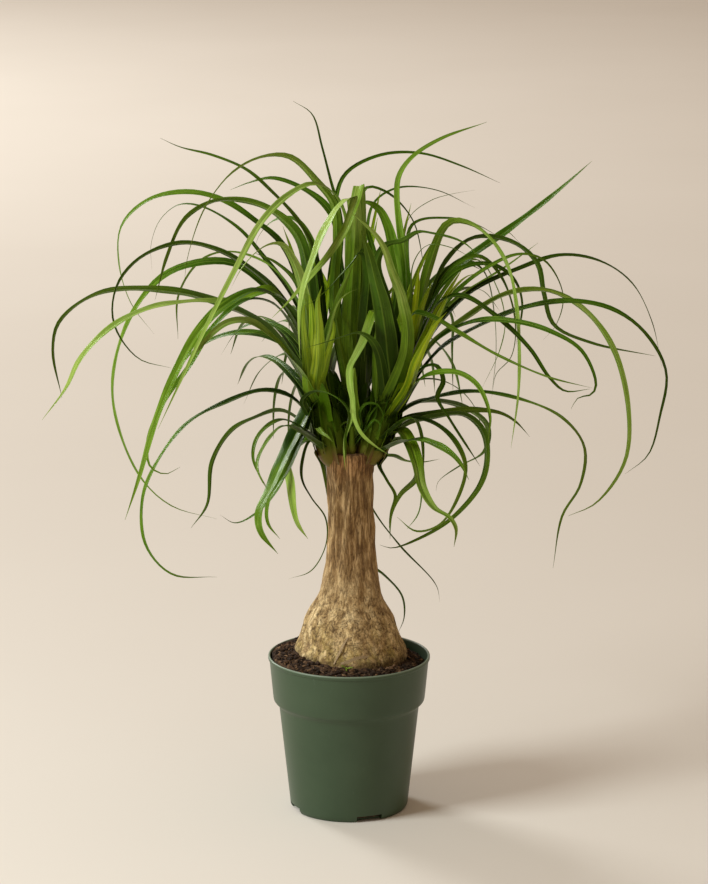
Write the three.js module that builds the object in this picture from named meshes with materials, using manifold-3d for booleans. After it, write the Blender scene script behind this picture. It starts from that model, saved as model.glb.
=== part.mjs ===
// A potted ponytail palm: nursery pot, soil, swollen trunk, three leafy heads and a curly tuft.
// Millimetres, +Z up, +X to the right of the picture, +Y away from it.
// The origin is on the pot's axis, on the surface that the pot stands on.
import * as THREE from "three";
import { mergeVertices } from "three/addons/utils/BufferGeometryUtils.js";
import Module from "manifold-3d";

const wasm = await Module();
wasm.setup();

const { degToRad, clamp, lerp, smoothstep } = THREE.MathUtils;

// Pot
const POT_HEIGHT = 160;
const RIM_RADIUS = 82.5;
const COLLAR_RADIUS = 77.2;
const COLLAR_LOW = 115;
const BODY_TOP_RADIUS = 71.4;
const BODY_TOP = 108;
const BODY_LOW_RADIUS = 60.4;
const FOOT_RADIUS = 58.5;
const WALL = 2;
const FLOOR = 2.4;
const POT_SIDES = 44;
const NOTCH_WIDTH = 26.7;
const NOTCH_HEIGHT = 6;
const NOTCH_DEPTH = 12;
const NOTCH_COUNT = 4;
const NOTCH_TURN = degToRad(-69.5);

// The gap that neighbours keep, the size of slivers that are closed up, and that of points made one
const GAP = 0.35;
const SLIVER = 0.03;
const WELD = 1e-3;

// Soil
const SOIL_SIDES = 39;
const SOIL_EDGE = 154.5;
const SOIL_CROWN = 161;
const SOIL_TILT = -0.075;
const CLOD_HEIGHT = 1.8;

// Trunk
const TRUNK_AT = new THREE.Vector2(1.5, 3);
const TRUNK_SIDES = 36;
const SOIL_LINE = 160;
const TRUNK_FOOT = 120;
const TRUNK_TOP = 373;
const BARK_RELIEF = 1.1;
const BURIED = [[26, TRUNK_FOOT], [41, 127], [52.5, 139], [57.2, 151], [57.6, SOIL_LINE]];
const RISING = [
  [56, 166], [51.5, 175], [48, 187], [45.3, 197], [40.2, 207], [34.8, 218], [31.2, 229], [28.6, 240],
  [25.6, 254], [23.7, 268], [22.8, 284], [22.2, 302], [22, 325], [22.1, 343], [23.2, 354], [23.6, 364],
];
const CUT_TOP = [[21.5, TRUNK_TOP], [14, TRUNK_TOP - 1], [10, TRUNK_TOP - 8]];

// The picture's view, which the leaves' lines are read in
const PICTURE = { width: 708, height: 884, focal: 3530 };
const EYE = new THREE.Vector3(5, -3452, 1182);
const EYE_DIP = degToRad(13.055);

// Leaves
const STEPS_PER_SPAN = 10;
const FINE_STEPS = 60;
const LENGTH_PER_RING = 178;
const TURN_PER_RING = degToRad(54);
const THIN_BLADE = 9.5;
const HOLD_PER_WIDTH = 0.11;
const TIP_SHARE = 0.14;
const START_TURN = 0.5;
const REACH_AT = 0.6;
const KEEL_ROOT = 1.5;
const KEEL_TIP = 0.8;
const CLEARANCE = 6;
const CLOUD_STEP = 5;
const SWINGS = [0, 16, -16, 32, -32, 48, -48, 66, -66, 86, -86];
const TURN_PER_SWING = degToRad(0.4);
const GOLDEN_TURN = degToRad(137.5);
const SPRING_SLOPE = 1.4;

// Leaves read from the picture, root side first:
// name, width, depth of the tip behind the pot's axis, twist to the tip in degrees, line in pixels
const LEFT_LEAVES = [
  ["low far arch", 15, -70, -60,
    [[300, 372], [262, 325], [212, 301], [170, 291], [100, 293], [60, 321], [53, 350], [62, 398]]],
  ["bright far arch", 16, -140, 20,
    [[298, 330], [273, 291], [235, 301], [190, 302], [150, 308],
      [110, 328], [80, 359], [66, 388], [42, 420]]],
  ["high arch", 11, 70, 50,
    [[303, 300], [282, 245], [255, 221], [225, 201], [190, 192],
      [150, 199], [122, 225], [119, 262], [131, 303], [154, 334]]],
  ["thin high arch", 9, 150, 20,
    [[300, 310], [262, 255], [237, 227], [200, 206], [178, 205], [160, 220], [151, 245], [152, 270]]],
  ["inner arch", 16, -60, -50,
    [[312, 305], [300, 240], [283, 219], [262, 206], [236, 200],
      [212, 202], [185, 219], [167, 257], [155, 300]]],
  ["thin inner arch", 9, 60, -60,
    [[305, 320], [275, 270], [240, 253], [213, 254], [195, 266], [178, 297], [178, 339]]],
  ["dark drop", 11, -100, -65,
    [[305, 340], [280, 297], [252, 270], [215, 249], [180, 243],
      [140, 258], [117, 286], [114, 323], [138, 358], [171, 368]]],
  ["long drop", 11, 90, 70,
    [[298, 325], [270, 290], [235, 264], [197, 263], [162, 277], [130, 318],
      [113, 378], [118, 425], [142, 479], [172, 506], [217, 519]]],
  ["broad fall", 16, -230, 35,
    [[303, 335], [280, 300], [255, 291], [230, 302], [208, 320],
      [183, 358], [157, 417], [139, 478], [125, 520]]],
  ["hooked fall", 12, -170, 30,
    [[302, 350], [275, 305], [247, 300], [215, 325], [188, 368],
      [165, 400], [148, 440], [150, 466], [165, 474], [180, 467]]],
  ["bright curl", 15, -120, 80,
    [[302, 374], [273, 338], [248, 321], [226, 323], [205, 341], [186, 366]]],
  ["low hook", 11, -80, 25,
    [[306, 412], [288, 396], [262, 391], [225, 403], [187, 424],
      [158, 461], [143, 497], [146, 545], [172, 574], [217, 577]]],
  ["low drop", 11, 60, -60,
    [[301, 422], [280, 411], [255, 418], [232, 430], [212, 462], [207, 505], [191, 528]]],
  ["top thread", 11, 30, 20,
    [[322, 300], [312, 245], [296, 218], [272, 192], [247, 170], [212, 155], [180, 147], [160, 138]]],
  ["back fold", 14, 180, 25,
    [[316, 300], [312, 244], [295, 219], [275, 220], [260, 234], [254, 250]]],
  ["bright front fold", 16, -210, 0,
    [[312, 355], [305, 300], [294, 262], [280, 244], [262, 248], [242, 268], [230, 290]]],
  ["dark stub", 14, -70, -35,
    [[306, 340], [298, 285], [275, 262], [255, 253]]],
  ["front ribbon", 19, -130, 66,
    [[322, 398], [312, 404], [303, 420], [294, 438], [282, 462], [272, 485], [259, 513], [261, 532],
      [278, 554]]],
  ["front ribbon twin", 13, -90, 40,
    [[313, 408], [303, 432], [287, 470], [268, 503], [268, 523], [280, 539]]],
  ["front thread", 9, -60, 30,
    [[308, 418], [293, 452], [277, 490], [255, 514], [235, 523], [220, 515]]],
  ["small loop", 10, -170, 20,
    [[302, 428], [280, 420], [258, 436], [253, 458], [260, 476], [268, 489]]],
  ["small inner loop", 11, -220, -40,
    [[303, 434], [284, 426], [264, 446], [257, 466], [262, 481], [268, 490]]],
  ["pale stub", 16, -50, 40,
    [[308, 440], [288, 460], [291, 482], [294, 510], [298, 524], [308, 539]]],
  ["neck thread", 9, -40, 20,
    [[312, 440], [303, 462], [303, 480], [312, 498], [326, 518], [326, 545], [311, 571], [288, 579]]],
  ["neck stub", 9, 20, -80,
    [[318, 450], [323, 463], [326, 482], [329, 505]]],
  ["short pale tongue", 10, -60, -80,
    [[318, 428], [322, 433], [328, 437], [333, 442]]],
  ["cross blade", 13, -60, -40,
    [[318, 380], [325, 345], [331, 322], [338, 299], [348, 275], [356, 260]]],
  ["arching pale thread", 9, -130, 0,
    [[303, 402], [314, 392], [334, 396], [349, 413], [345, 440], [347, 471]]],
  ["bright heart one", 17, -75, 0,
    [[312, 392], [314, 362], [313, 330], [311, 305], [308, 290]]],
  ["bright heart two", 16, -85, 0,
    [[317, 392], [319, 356], [319, 326], [318, 300], [322, 286]]],
  ["bright heart three", 12, -60, 0,
    [[319, 394], [326, 362], [332, 340], [334, 326], [331, 314]]],
  ["bright heart four", 14, -50, -35,
    [[310, 396], [307, 362], [304, 335], [303, 315], [306, 298]]],
  ["heart five", 14, -50, 0,
    [[320, 396], [326, 352], [333, 318], [342, 292], [352, 268]]],
  ["heart six", 12, 40, 0,
    [[316, 392], [321, 340], [327, 300], [333, 268], [338, 250]]],
  ["dark heart seven", 13, 60, 0,
    [[322, 398], [330, 370], [337, 345], [342, 325], [347, 308]]],
  ["pale small leaf", 6, -100, 0,
    [[322, 372], [330, 330], [336, 308], [341, 299], [350, 292], [361, 288]]],
];
const RIGHT_LEAVES = [
  ["far arch", 11, -70, 40,
    [[405, 396], [440, 350], [472, 330], [520, 309], [568, 301], [612, 309],
      [645, 333], [666, 372], [660, 415], [648, 455], [625, 474]]],
  ["light far arch", 12, 60, -65,
    [[407, 390], [432, 345], [468, 317], [507, 294], [548, 291], [583, 309],
      [612, 346], [628, 405], [625, 461], [596, 503], [568, 516]]],
  ["thin far arch", 9, 120, 50,
    [[412, 370], [437, 326], [472, 291], [520, 268], [560, 255],
      [600, 261], [632, 283], [652, 322], [662, 368]]],
  ["hooked arch", 11, -150, 60,
    [[412, 375], [440, 338], [476, 321], [513, 321], [550, 331],
      [582, 351], [596, 384], [592, 394], [578, 398], [571, 409]]],
  ["high arch", 11, 80, -70,
    [[420, 330], [446, 262], [474, 238], [512, 242], [537, 263],
      [544, 294], [554, 325], [592, 343], [655, 356]]],
  ["bright lead", 13, -70, -65,
    [[413, 345], [428, 270], [449, 223], [470, 224], [491, 240],
      [508, 268], [516, 305], [519, 350], [518, 395], [511, 448]]],
  ["spear", 17, 70, 25,
    [[405, 380], [418, 312], [438, 284], [470, 257], [512, 227], [552, 196], [592, 161]]],
  ["thin loop", 8, 40, 50,
    [[418, 350], [450, 298], [488, 267], [520, 254], [545, 261], [563, 295], [556, 325], [543, 340]]],
  ["short thread", 8, 130, 50,
    [[420, 330], [455, 275], [487, 243], [505, 231], [520, 243]]],
  ["thin tip", 9, 170, 40,
    [[418, 340], [455, 300], [508, 265], [538, 243]]],
  ["low far arch", 11, -90, 20,
    [[404, 411], [432, 399], [472, 392], [518, 399], [562, 418],
      [584, 447], [580, 485], [562, 516], [553, 568]]],
  ["low blunt arch", 13, 90, 55,
    [[404, 422], [427, 416], [468, 410], [500, 413], [516, 422], [530, 437]]],
  ["long slant", 11, -130, 20,
    [[403, 365], [408, 325], [415, 313], [434, 318], [456, 331], [497, 355], [548, 377], [592, 388]]],
  ["dark slant", 12, -90, 40,
    [[417, 345], [440, 302], [462, 296], [497, 317], [530, 349], [549, 377], [565, 391], [590, 389]]],
  ["inner droop", 10, 90, 40,
    [[418, 330], [445, 280], [468, 262], [484, 272], [494, 312], [496, 353], [491, 400]]],
  ["thin droop", 8, 150, 40,
    [[417, 320], [450, 270], [478, 260], [497, 288], [505, 322], [499, 352], [482, 388]]],
  ["crossing droop", 9, 60, 60,
    [[420, 320], [450, 268], [478, 256], [500, 275], [515, 320], [511, 357], [496, 374], [492, 396]]],
  ["dark droop", 11, 40, 60,
    [[424, 310], [458, 270], [490, 264], [513, 278], [522, 302], [516, 345]]],
  ["low curl", 12, -120, 50,
    [[404, 402], [421, 379], [441, 372], [462, 374], [479, 387], [490, 416], [488, 442]]],
  ["great curl", 11, 40, -75,
    [[408, 425], [436, 417], [464, 415], [482, 430], [487, 457],
      [480, 485], [451, 519], [418, 539], [392, 548], [380, 545]]],
  ["dark twist", 11, -70, 35,
    [[406, 396], [422, 369], [436, 366], [443, 381], [437, 397], [450, 420], [480, 466]]],
  ["hanging thread", 8, 140, 0,
    [[422, 335], [444, 306], [452, 318], [452, 350], [453, 392]]],
  ["short dark drop", 12, -80, -25,
    [[402, 422], [414, 419], [421, 434], [424, 470]]],
  ["bright front drop", 16, -110, 60,
    [[400, 431], [410, 444], [417, 464], [422, 488], [434, 508], [450, 518], [456, 529], [454, 547]]],
  ["blunt front arch", 16, -160, 20,
    [[403, 442], [424, 441], [446, 450], [460, 463], [469, 480]]],
  ["thin round drop", 11, -50, 25,
    [[408, 420], [430, 422], [452, 438], [465, 465], [459, 494], [440, 524], [416, 531], [397, 517]]],
  ["foot thread", 7, 70, -75,
    [[393, 456], [406, 461], [424, 462], [440, 459]]],
  ["neck leaf", 11, -30, 25,
    [[384, 452], [378, 464], [386, 480], [395, 496], [391, 512], [389, 528]]],
  ["hidden drop", 11, 60, -55,
    [[400, 438], [414, 458], [416, 478], [400, 495], [391, 515], [390, 539]]],
  ["thin back drop", 8, 110, 30,
    [[402, 440], [418, 468], [421, 500], [417, 516], [407, 529]]],
  ["reaching thread", 11, 170, -80,
    [[404, 408], [450, 403], [487, 425], [484, 452], [458, 467], [438, 482], [436, 491]]],
  ["tall leaf", 12, 60, 0,
    [[409, 345], [409, 300], [405, 262], [400, 228], [397, 195], [399, 176], [411, 158], [440, 139],
      [487, 122]]],
  ["broad leaf", 20, 60, 0,
    [[402, 330], [400, 285], [394, 250], [388, 226], [379, 209], [366, 202], [352, 206]]],
  ["pale folded leaf", 15, -150, 0,
    [[407, 350], [402, 300], [392, 272], [384, 248], [374, 233], [362, 222], [349, 211]]],
  ["side arch", 13, -120, 45,
    [[396, 350], [386, 300], [377, 262], [386, 245], [402, 241], [418, 232], [430, 233], [464, 243],
      [490, 270]]],
  ["side thread", 8, 60, 30,
    [[408, 300], [412, 225], [448, 218], [475, 224], [498, 236]]],
  ["low side thread", 8, -60, 60,
    [[410, 320], [414, 262], [428, 245], [452, 248], [478, 262]]],
  ["raised thread", 7, 20, -60,
    [[406, 300], [408, 220], [430, 201], [452, 194], [475, 190]]],
  ["great dark leaf", 23, -95, 0,
    [[390, 388], [387, 350], [385, 330], [381, 305], [375, 280], [369, 255], [361, 230]]],
  ["bright heart one", 17, -70, -40,
    [[402, 392], [410, 352], [418, 320], [426, 296], [433, 280]]],
  ["bright heart two", 17, -60, -30,
    [[405, 394], [418, 356], [432, 322], [446, 296], [464, 266]]],
  ["bright heart three", 14, -50, -30,
    [[406, 398], [422, 354], [438, 318], [450, 294], [466, 277], [479, 273]]],
  ["bright heart four", 17, -60, -45,
    [[404, 390], [408, 350], [413, 318], [417, 290], [419, 266]]],
  ["heart five", 13, 30, 50,
    [[400, 392], [403, 350], [405, 318], [405, 296], [403, 280]]],
  ["bright heart six", 17, -80, -25,
    [[407, 392], [417, 362], [428, 338], [438, 322], [447, 312]]],
  ["dark upright", 15, 20, 15,
    [[392, 402], [388, 356], [384, 316], [379, 280], [374, 252]]],
  ["dark upright two", 14, -20, -55,
    [[395, 404], [393, 360], [393, 322], [396, 294], [392, 268]]],
  ["dark upright three", 14, 40, 0,
    [[388, 404], [379, 366], [372, 330], [366, 296], [361, 268]]],
  ["dark low cross leaf", 12, -110, -95,
    [[384, 384], [378, 352], [369, 338], [358, 333], [345, 336], [330, 341], [316, 345], [304, 348]]],
  ["pale front leaf", 14, -95, 0,
    [[378, 400], [377, 372], [378, 345], [379, 322], [375, 311], [370, 322], [364, 340], [357, 354],
      [350, 368], [350, 384], [353, 400], [355, 420], [362, 434], [374, 445], [389, 455]]],
  ["dark leaf behind", 16, 40, 0,
    [[390, 388], [386, 345], [382, 310], [378, 280], [374, 255], [368, 232], [362, 212]]],
];
const BACK_LEAVES = [
  ["top arch right", 8, 100, 20,
    [[350, 330], [338, 240], [337, 193], [347, 172], [380, 155], [420, 153], [462, 166], [500, 183]]],
  ["hanging thread", 8, 60, 0,
    [[356, 330], [360, 240], [366, 188], [388, 193], [412, 219], [421, 250], [425, 292]]],
  ["crossing thread", 7, 130, -55,
    [[360, 330], [366, 240], [374, 203], [397, 188], [436, 190], [475, 208]]],
  ["behind the trunk", 9, 60, 20,
    [[360, 410], [366, 450], [364, 490], [374, 512], [400, 546], [436, 585], [440, 602]]],
  ["lowest thread", 9, 60, 0,
    [[352, 412], [350, 460], [352, 520], [362, 558], [384, 575], [402, 596], [404, 618], [398, 633]]],
  ["dark middle two", 12, 0, -55,
    [[362, 404], [366, 362], [368, 322], [366, 286], [361, 240]]],
  ["dark middle three", 11, 20, -90,
    [[350, 404], [344, 368], [341, 336], [343, 306], [350, 272]]],
  ["bright high fold", 18, -170, 0,
    [[350, 340], [353, 270], [355, 215], [351, 198], [338, 208], [329, 222], [321, 237], [315, 253],
      [309, 270], [304, 285], [300, 305], [299, 330], [300, 358]]],
  ["pale high fold", 17, -190, 0,
    [[357, 330], [359, 250], [360, 200], [359, 186], [357, 196], [352, 212], [346, 228], [336, 245],
      [324, 261], [308, 279], [290, 300], [272, 318]]],
  ["dark folded leaf", 18, -80, 0,
    [[362, 380], [366, 320], [369, 275], [366, 255], [361, 251], [353, 262], [341, 275], [326, 291],
      [312, 302], [300, 308]]],
  ["light over arch", 12, -120, -60,
    [[334, 300], [337, 240], [334, 205], [318, 183], [290, 157],
      [262, 157], [232, 173], [205, 208], [188, 256], [184, 285]]],
  ["pale fall", 12, -190, 85,
    [[345, 290], [344, 215], [330, 190], [312, 184], [290, 194],
      [262, 221], [238, 264], [207, 325], [182, 378], [158, 429]]],
  ["top fold", 15, 170, 0,
    [[333, 290], [338, 230], [325, 205], [300, 187], [272, 178], [248, 183], [230, 190]]],
  ["tall thread", 8, 70, 10,
    [[338, 300], [341, 220], [331, 182], [322, 147], [312, 114], [293, 101]]],
];
const TUFT_LEAVES = [
  ["curl one", 5, -10, 90,
    [[362, 428], [360, 412], [366, 404], [376, 404], [382, 412], [384, 426]]],
  ["curl two", 5, 10, 90,
    [[358, 428], [351, 410], [343, 402], [335, 406], [333, 416]]],
  ["curl three", 4, -16, 90,
    [[366, 430], [374, 420], [380, 424], [377, 432], [371, 430]]],
  ["curl four", 4, 20, 60,
    [[360, 424], [366, 400], [374, 396], [378, 404]]],
  ["curl five", 4, -14, -90,
    [[356, 430], [348, 422], [341, 426], [343, 434]]],
  ["curl six", 5, 30, 0,
    [[360, 420], [354, 400], [344, 388], [334, 390], [330, 400]]],
  ["curl seven", 4, 0, 70,
    [[364, 428], [372, 412], [382, 403], [390, 404]]],
  ["pale fork leaf", 9, -85, 0,
    [[356, 424], [354, 395], [353, 375], [352, 368], [351, 378], [352, 400], [351, 420], [346, 434],
      [344, 450], [345, 470]]],
];

// Leaves that grow by rule: lengths, first slopes, how far they arch over, widths, and how high up
// the shoot they spring, each from the first leaf of its kind to the last or between two bounds
const HEART = {
  long: [130, 230],
  rise: [88, 78],
  droop: [18, 50],
  wide: [9, 13],
  springs: [1, 0.85],
  sway: 4,
  twist: 70,
};
const REAR = {
  long: [220, 340],
  rise: [72, 38],
  droop: [95, 145],
  wide: [10, 14],
  springs: [0.85, 0.25],
  sway: 24,
  twist: 80,
};
const ARCH_SPANS = 6;
const ARCH_POWER = 1.35;

// Each head: its shoot, the leaves read from the picture, and what grows by rule where the picture
// doesn't show: kind, count, the way it faces and its spread to each side in degrees
const HEADS = {
  front_tuft: {
    foot: new THREE.Vector3(3, -10, 380),
    lean: new THREE.Vector2(0, 0),
    shoot: [[3.2, TRUNK_TOP - 4], [3.8, 378], [3, 388], [2, 398]],
    rootZone: 5,
    read: TUFT_LEAVES,
    grows: [],
    seed: 5,
    color: 0x35541a,
  },
  back_head: {
    foot: new THREE.Vector3(2, 27, 372),
    lean: new THREE.Vector2(0.02, 0.2),
    shoot: [[7, 359], [10.5, 366], [11.5, 378], [12, 392], [12, 408], [7, 420]],
    rootZone: 20,
    read: BACK_LEAVES,
    grows: [[HEART, 4, 90, 90], [REAR, 9, 90, 50]],
    seed: 41,
    color: 0x3f641c,
  },
  left_head: {
    foot: new THREE.Vector3(-17, 1, 372),
    lean: new THREE.Vector2(-0.2, -0.02),
    shoot: [[9, 357], [14, 364], [16, 376], [16.5, 392], [16, 408], [9, 422]],
    rootZone: 24,
    read: LEFT_LEAVES,
    grows: [[HEART, 3, 90, 60], [REAR, 11, 92, 36]],
    seed: 11,
    color: 0x5d8024,
  },
  right_head: {
    foot: new THREE.Vector3(22, 1, 372),
    lean: new THREE.Vector2(0.34, -0.02),
    shoot: [[9, 357], [14, 364], [16, 376], [16.5, 392], [16, 408], [9, 422]],
    rootZone: 24,
    read: RIGHT_LEAVES,
    grows: [[HEART, 3, 90, 60], [REAR, 8, 93, 30]],
    seed: 23,
    color: 0x567a20,
  },
};
const SHOOT_SIDES = 10;

// Litter at the foot of the trunk: [turn about the trunk in degrees, height] along each scrap
const DRY_LEAF = {
  line: [[-100, 165.5], [-91, 168], [-80, 171], [-70, 171.5]],
  wide: 5,
  thick: 1.4,
  lift: 1.3,
};
const DRY_CURL = {
  line: [[-107, 164.5], [-103, 174], [-96, 187], [-86, 196]],
  wide: 2.4,
  thick: 1.4,
  lift: 1.3,
};
const SPROUT_AT = new THREE.Vector3(-2.5, -59, 155);
const SPROUT = { stem: 0.9, tall: 8.5, leaf: 3.6, thick: 1, tips: [[-8, -60.5, 167], [4.5, -61, 164.5]] };

// Repeatable draws between 0 and 1
function drawsFrom(seed) {
  let state = seed;
  return () => {
    state = (state * 1664525 + 1013904223) % 4294967296;
    return state / 4294967296;
  };
}

// A mesh geometry as a solid that can be joined and cut
function solidOf(geometry, weld = 1e-4) {
  const bare = geometry.clone();
  bare.deleteAttribute("normal");
  bare.deleteAttribute("uv");
  const merged = mergeVertices(bare, weld);
  const kept = [];
  const index = merged.index.array;
  for (let i = 0; i < index.length; i += 3) {
    const [a, b, c] = [index[i], index[i + 1], index[i + 2]];
    if (a !== b && b !== c && c !== a) {
      kept.push(a, b, c);
    }
  }
  const mesh = new wasm.Mesh({
    numProp: 3,
    vertProperties: new Float32Array(merged.attributes.position.array),
    triVerts: new Uint32Array(kept),
  });
  return new wasm.Manifold(mesh);
}

// The largest connected body of a solid as a mesh geometry, without its shut-in voids
function largestBody(solid) {
  const bodies = solid.decompose();
  const largest = bodies.reduce((best, body) => (body.volume() > best.volume() ? body : best));
  const { vertProperties, triVerts } = largest.getMesh();
  const geometry = new THREE.BufferGeometry();
  geometry.setAttribute("position", new THREE.BufferAttribute(new Float32Array(vertProperties), 3));
  geometry.setIndex(new THREE.BufferAttribute(new Uint32Array(triVerts), 1));
  return geometry;
}

// A solid as a mesh geometry, rid of the slivers and pinched voids that joining leaves
function geometryOf(solid) {
  const cleaned = largestBody(solid.simplify(SLIVER));
  const geometry = largestBody(solidOf(cleaned, WELD));
  geometry.computeVertexNormals();
  return geometry;
}

// A turned solid about Z whose [radius, height] profile starts and ends on the axis;
// reshape may move each point, given its angle round the axis
function turned(profile, sides, reshape = null) {
  const outline = profile.map(([radius, height]) => new THREE.Vector2(radius, height));
  const geometry = new THREE.LatheGeometry(outline, sides);
  geometry.rotateX(Math.PI / 2);
  if (reshape) {
    const positions = geometry.attributes.position;
    const point = new THREE.Vector3();
    for (let i = 0; i < positions.count; i += 1) {
      point.fromBufferAttribute(positions, i);
      reshape(point, Math.atan2(point.y, point.x));
      positions.setXYZ(i, point.x, point.y, point.z);
    }
  }
  return geometry;
}

function meshOf(name, geometry, color, roughness) {
  const mesh = new THREE.Mesh(geometry, new THREE.MeshStandardMaterial({ color, roughness, metalness: 0 }));
  mesh.name = name;
  return mesh;
}

// Pot: collar, step, tapered body and a flat foot with notches
function pot() {
  const profile = [
    [0, 0], [FOOT_RADIUS, 0], [BODY_LOW_RADIUS - 0.6, 1.4], [BODY_LOW_RADIUS, 6],
    [BODY_TOP_RADIUS, BODY_TOP], [COLLAR_RADIUS, COLLAR_LOW], [RIM_RADIUS - 1.4, POT_HEIGHT - 5],
    [RIM_RADIUS, POT_HEIGHT - 4], [RIM_RADIUS, POT_HEIGHT - 0.7], [RIM_RADIUS - 0.8, POT_HEIGHT],
    [RIM_RADIUS - 2.2, POT_HEIGHT], [COLLAR_RADIUS - WALL, COLLAR_LOW + 2],
    [BODY_TOP_RADIUS - WALL, BODY_TOP + 2], [BODY_LOW_RADIUS - WALL, 6], [FOOT_RADIUS - WALL, FLOOR],
    [0, FLOOR],
  ];
  let solid = solidOf(turned(profile, POT_SIDES));
  for (let i = 0; i < NOTCH_COUNT; i += 1) {
    const notch = new THREE.BoxGeometry(NOTCH_DEPTH, NOTCH_WIDTH, NOTCH_HEIGHT * 2);
    notch.translate(FOOT_RADIUS, 0, 0);
    notch.rotateZ(NOTCH_TURN - Math.PI / 2 + (i * 2 * Math.PI) / NOTCH_COUNT);
    solid = solid.subtract(solidOf(notch));
  }
  return meshOf("pot", geometryOf(solid), 0x41573a, 0.45);
}

// Soil: fills the pot up to a crumbly crown, with a plain hole for the trunk's foot
function clodHeight(x, y) {
  const coarse = Math.sin(x * 0.31 + 1.3 * Math.sin(y * 0.23)) * Math.cos(y * 0.29 + Math.sin(x * 0.17));
  const fine = Math.sin(x * 0.93 + 2 * y) * Math.sin(y * 0.71 - x * 0.4);
  return CLOD_HEIGHT * (0.6 * coarse + 0.4 * fine);
}

function soil() {
  const holeLip = BURIED[BURIED.length - 1][0] + GAP + 0.25;
  const hole = BURIED.slice(0, -1).map(([radius, height]) => [radius + GAP + 0.2, height - GAP]);
  const edge = lerp(BODY_TOP_RADIUS, RIM_RADIUS, 0.82) - WALL;
  const rings = [0.12, 0.4, 0.7, 0.92].map((share) => [
    lerp(holeLip, edge, share),
    lerp(SOIL_CROWN, SOIL_EDGE, share),
  ]);
  const profile = [
    [0, FLOOR + GAP], [FOOT_RADIUS - WALL - 1.5, FLOOR + GAP], [BODY_LOW_RADIUS - WALL - 1, 7],
    [BODY_TOP_RADIUS - WALL - GAP - 0.4, BODY_TOP - 1], [BODY_TOP_RADIUS - WALL - GAP, BODY_TOP + 2],
    [COLLAR_RADIUS - WALL - GAP - 0.5, COLLAR_LOW + 3], [edge - 0.6, SOIL_EDGE],
    ...rings.reverse(), [holeLip, SOIL_CROWN], ...hole.reverse(), [0, TRUNK_FOOT - GAP],
  ];
  const geometry = turned(profile, SOIL_SIDES, (point) => {
    const reach = Math.hypot(point.x, point.y);
    const inHole = reach <= holeLip + 0.01 && point.z > TRUNK_FOOT - 2;
    if (point.z > SOIL_EDGE - 1) {
      point.z += SOIL_TILT * point.x + (inHole || reach > edge - 1 ? 0 : clodHeight(point.x, point.y));
    }
    const follow = point.z > TRUNK_FOOT - 2 ? clamp((edge - reach) / (edge - holeLip), 0, 1) : 0;
    point.x += TRUNK_AT.x * follow;
    point.y += TRUNK_AT.y * follow;
  });
  const hollow = new THREE.CylinderGeometry(SPROUT.stem + GAP, SPROUT.stem + GAP, 2 * SPROUT.tall, 8);
  hollow.rotateX(Math.PI / 2);
  hollow.translate(SPROUT_AT.x, SPROUT_AT.y, SPROUT_AT.z + SPROUT.tall - GAP);
  return meshOf("soil", geometryOf(solidOf(geometry).subtract(solidOf(hollow))), 0x2e231b, 0.95);
}

// Trunk: the swollen base with fissured bark, the column and the dished cut
function barkAt(turn, height) {
  const fade = smoothstep(height, SOIL_LINE, SOIL_LINE + 14) * (1 - smoothstep(height, 355, TRUNK_TOP));
  const flutes = Math.sin(7 * turn + 1.4 * Math.sin(height / 34)) + 0.7 * Math.sin(11 * turn - height / 27);
  return BARK_RELIEF * fade * (flutes + 0.5 * Math.sin(height / 6.5 + 3 * Math.sin(3 * turn)));
}

function trunkGeometry(grown = 0) {
  const foot = [[0, TRUNK_FOOT - grown], [BURIED[0][0] + grown, TRUNK_FOOT - grown]];
  const side = [...BURIED.slice(1), ...RISING].map(([radius, height]) => [radius + grown, height]);
  const [rim, ...dish] = CUT_TOP;
  const hollow = dish.map(([radius, height]) => [radius - grown, height + grown]);
  const top = [[rim[0] + grown, rim[1] + grown], ...hollow];
  const centre = [0, top[top.length - 1][1]];
  return turned([...foot, ...side, ...top, centre], TRUNK_SIDES, (point, turn) => {
    const reach = Math.hypot(point.x, point.y);
    const relief = reach > 1 ? barkAt(turn, point.z) / reach : 0;
    point.x += point.x * relief + TRUNK_AT.x;
    point.y += point.y * relief + TRUNK_AT.y;
  });
}

function trunkRadiusAt(height) {
  const rows = [...BURIED, ...RISING];
  const upper = rows.findIndex((row) => row[1] >= height);
  if (upper <= 0) {
    return upper === 0 ? rows[0][0] : rows[rows.length - 1][0];
  }
  const [low, high] = [rows[upper - 1], rows[upper]];
  return lerp(low[0], high[0], (height - low[1]) / (high[1] - low[1]));
}

// The place on a picture point's sight line at a given depth behind the pot's axis
function onSightLine([across, down], depth) {
  const right = (across - PICTURE.width / 2) / PICTURE.focal;
  const up = (PICTURE.height / 2 - down) / PICTURE.focal;
  const ray = new THREE.Vector3(
    right,
    Math.cos(EYE_DIP) + up * Math.sin(EYE_DIP),
    up * Math.cos(EYE_DIP) - Math.sin(EYE_DIP),
  );
  return EYE.clone().addScaledVector(ray, (depth - EYE.y) / ray.y);
}

// Where a leaf springs from its shoot: as low as lets it leave steeply
function shootPoint(head, height) {
  const low = head.shoot[0][1] + 8;
  const high = head.shoot[head.shoot.length - 1][1] - 6;
  const z = clamp(height, low, high);
  const rise = z - head.foot.z;
  return new THREE.Vector3(head.foot.x + head.lean.x * rise, head.foot.y + head.lean.y * rise, z);
}

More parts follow.
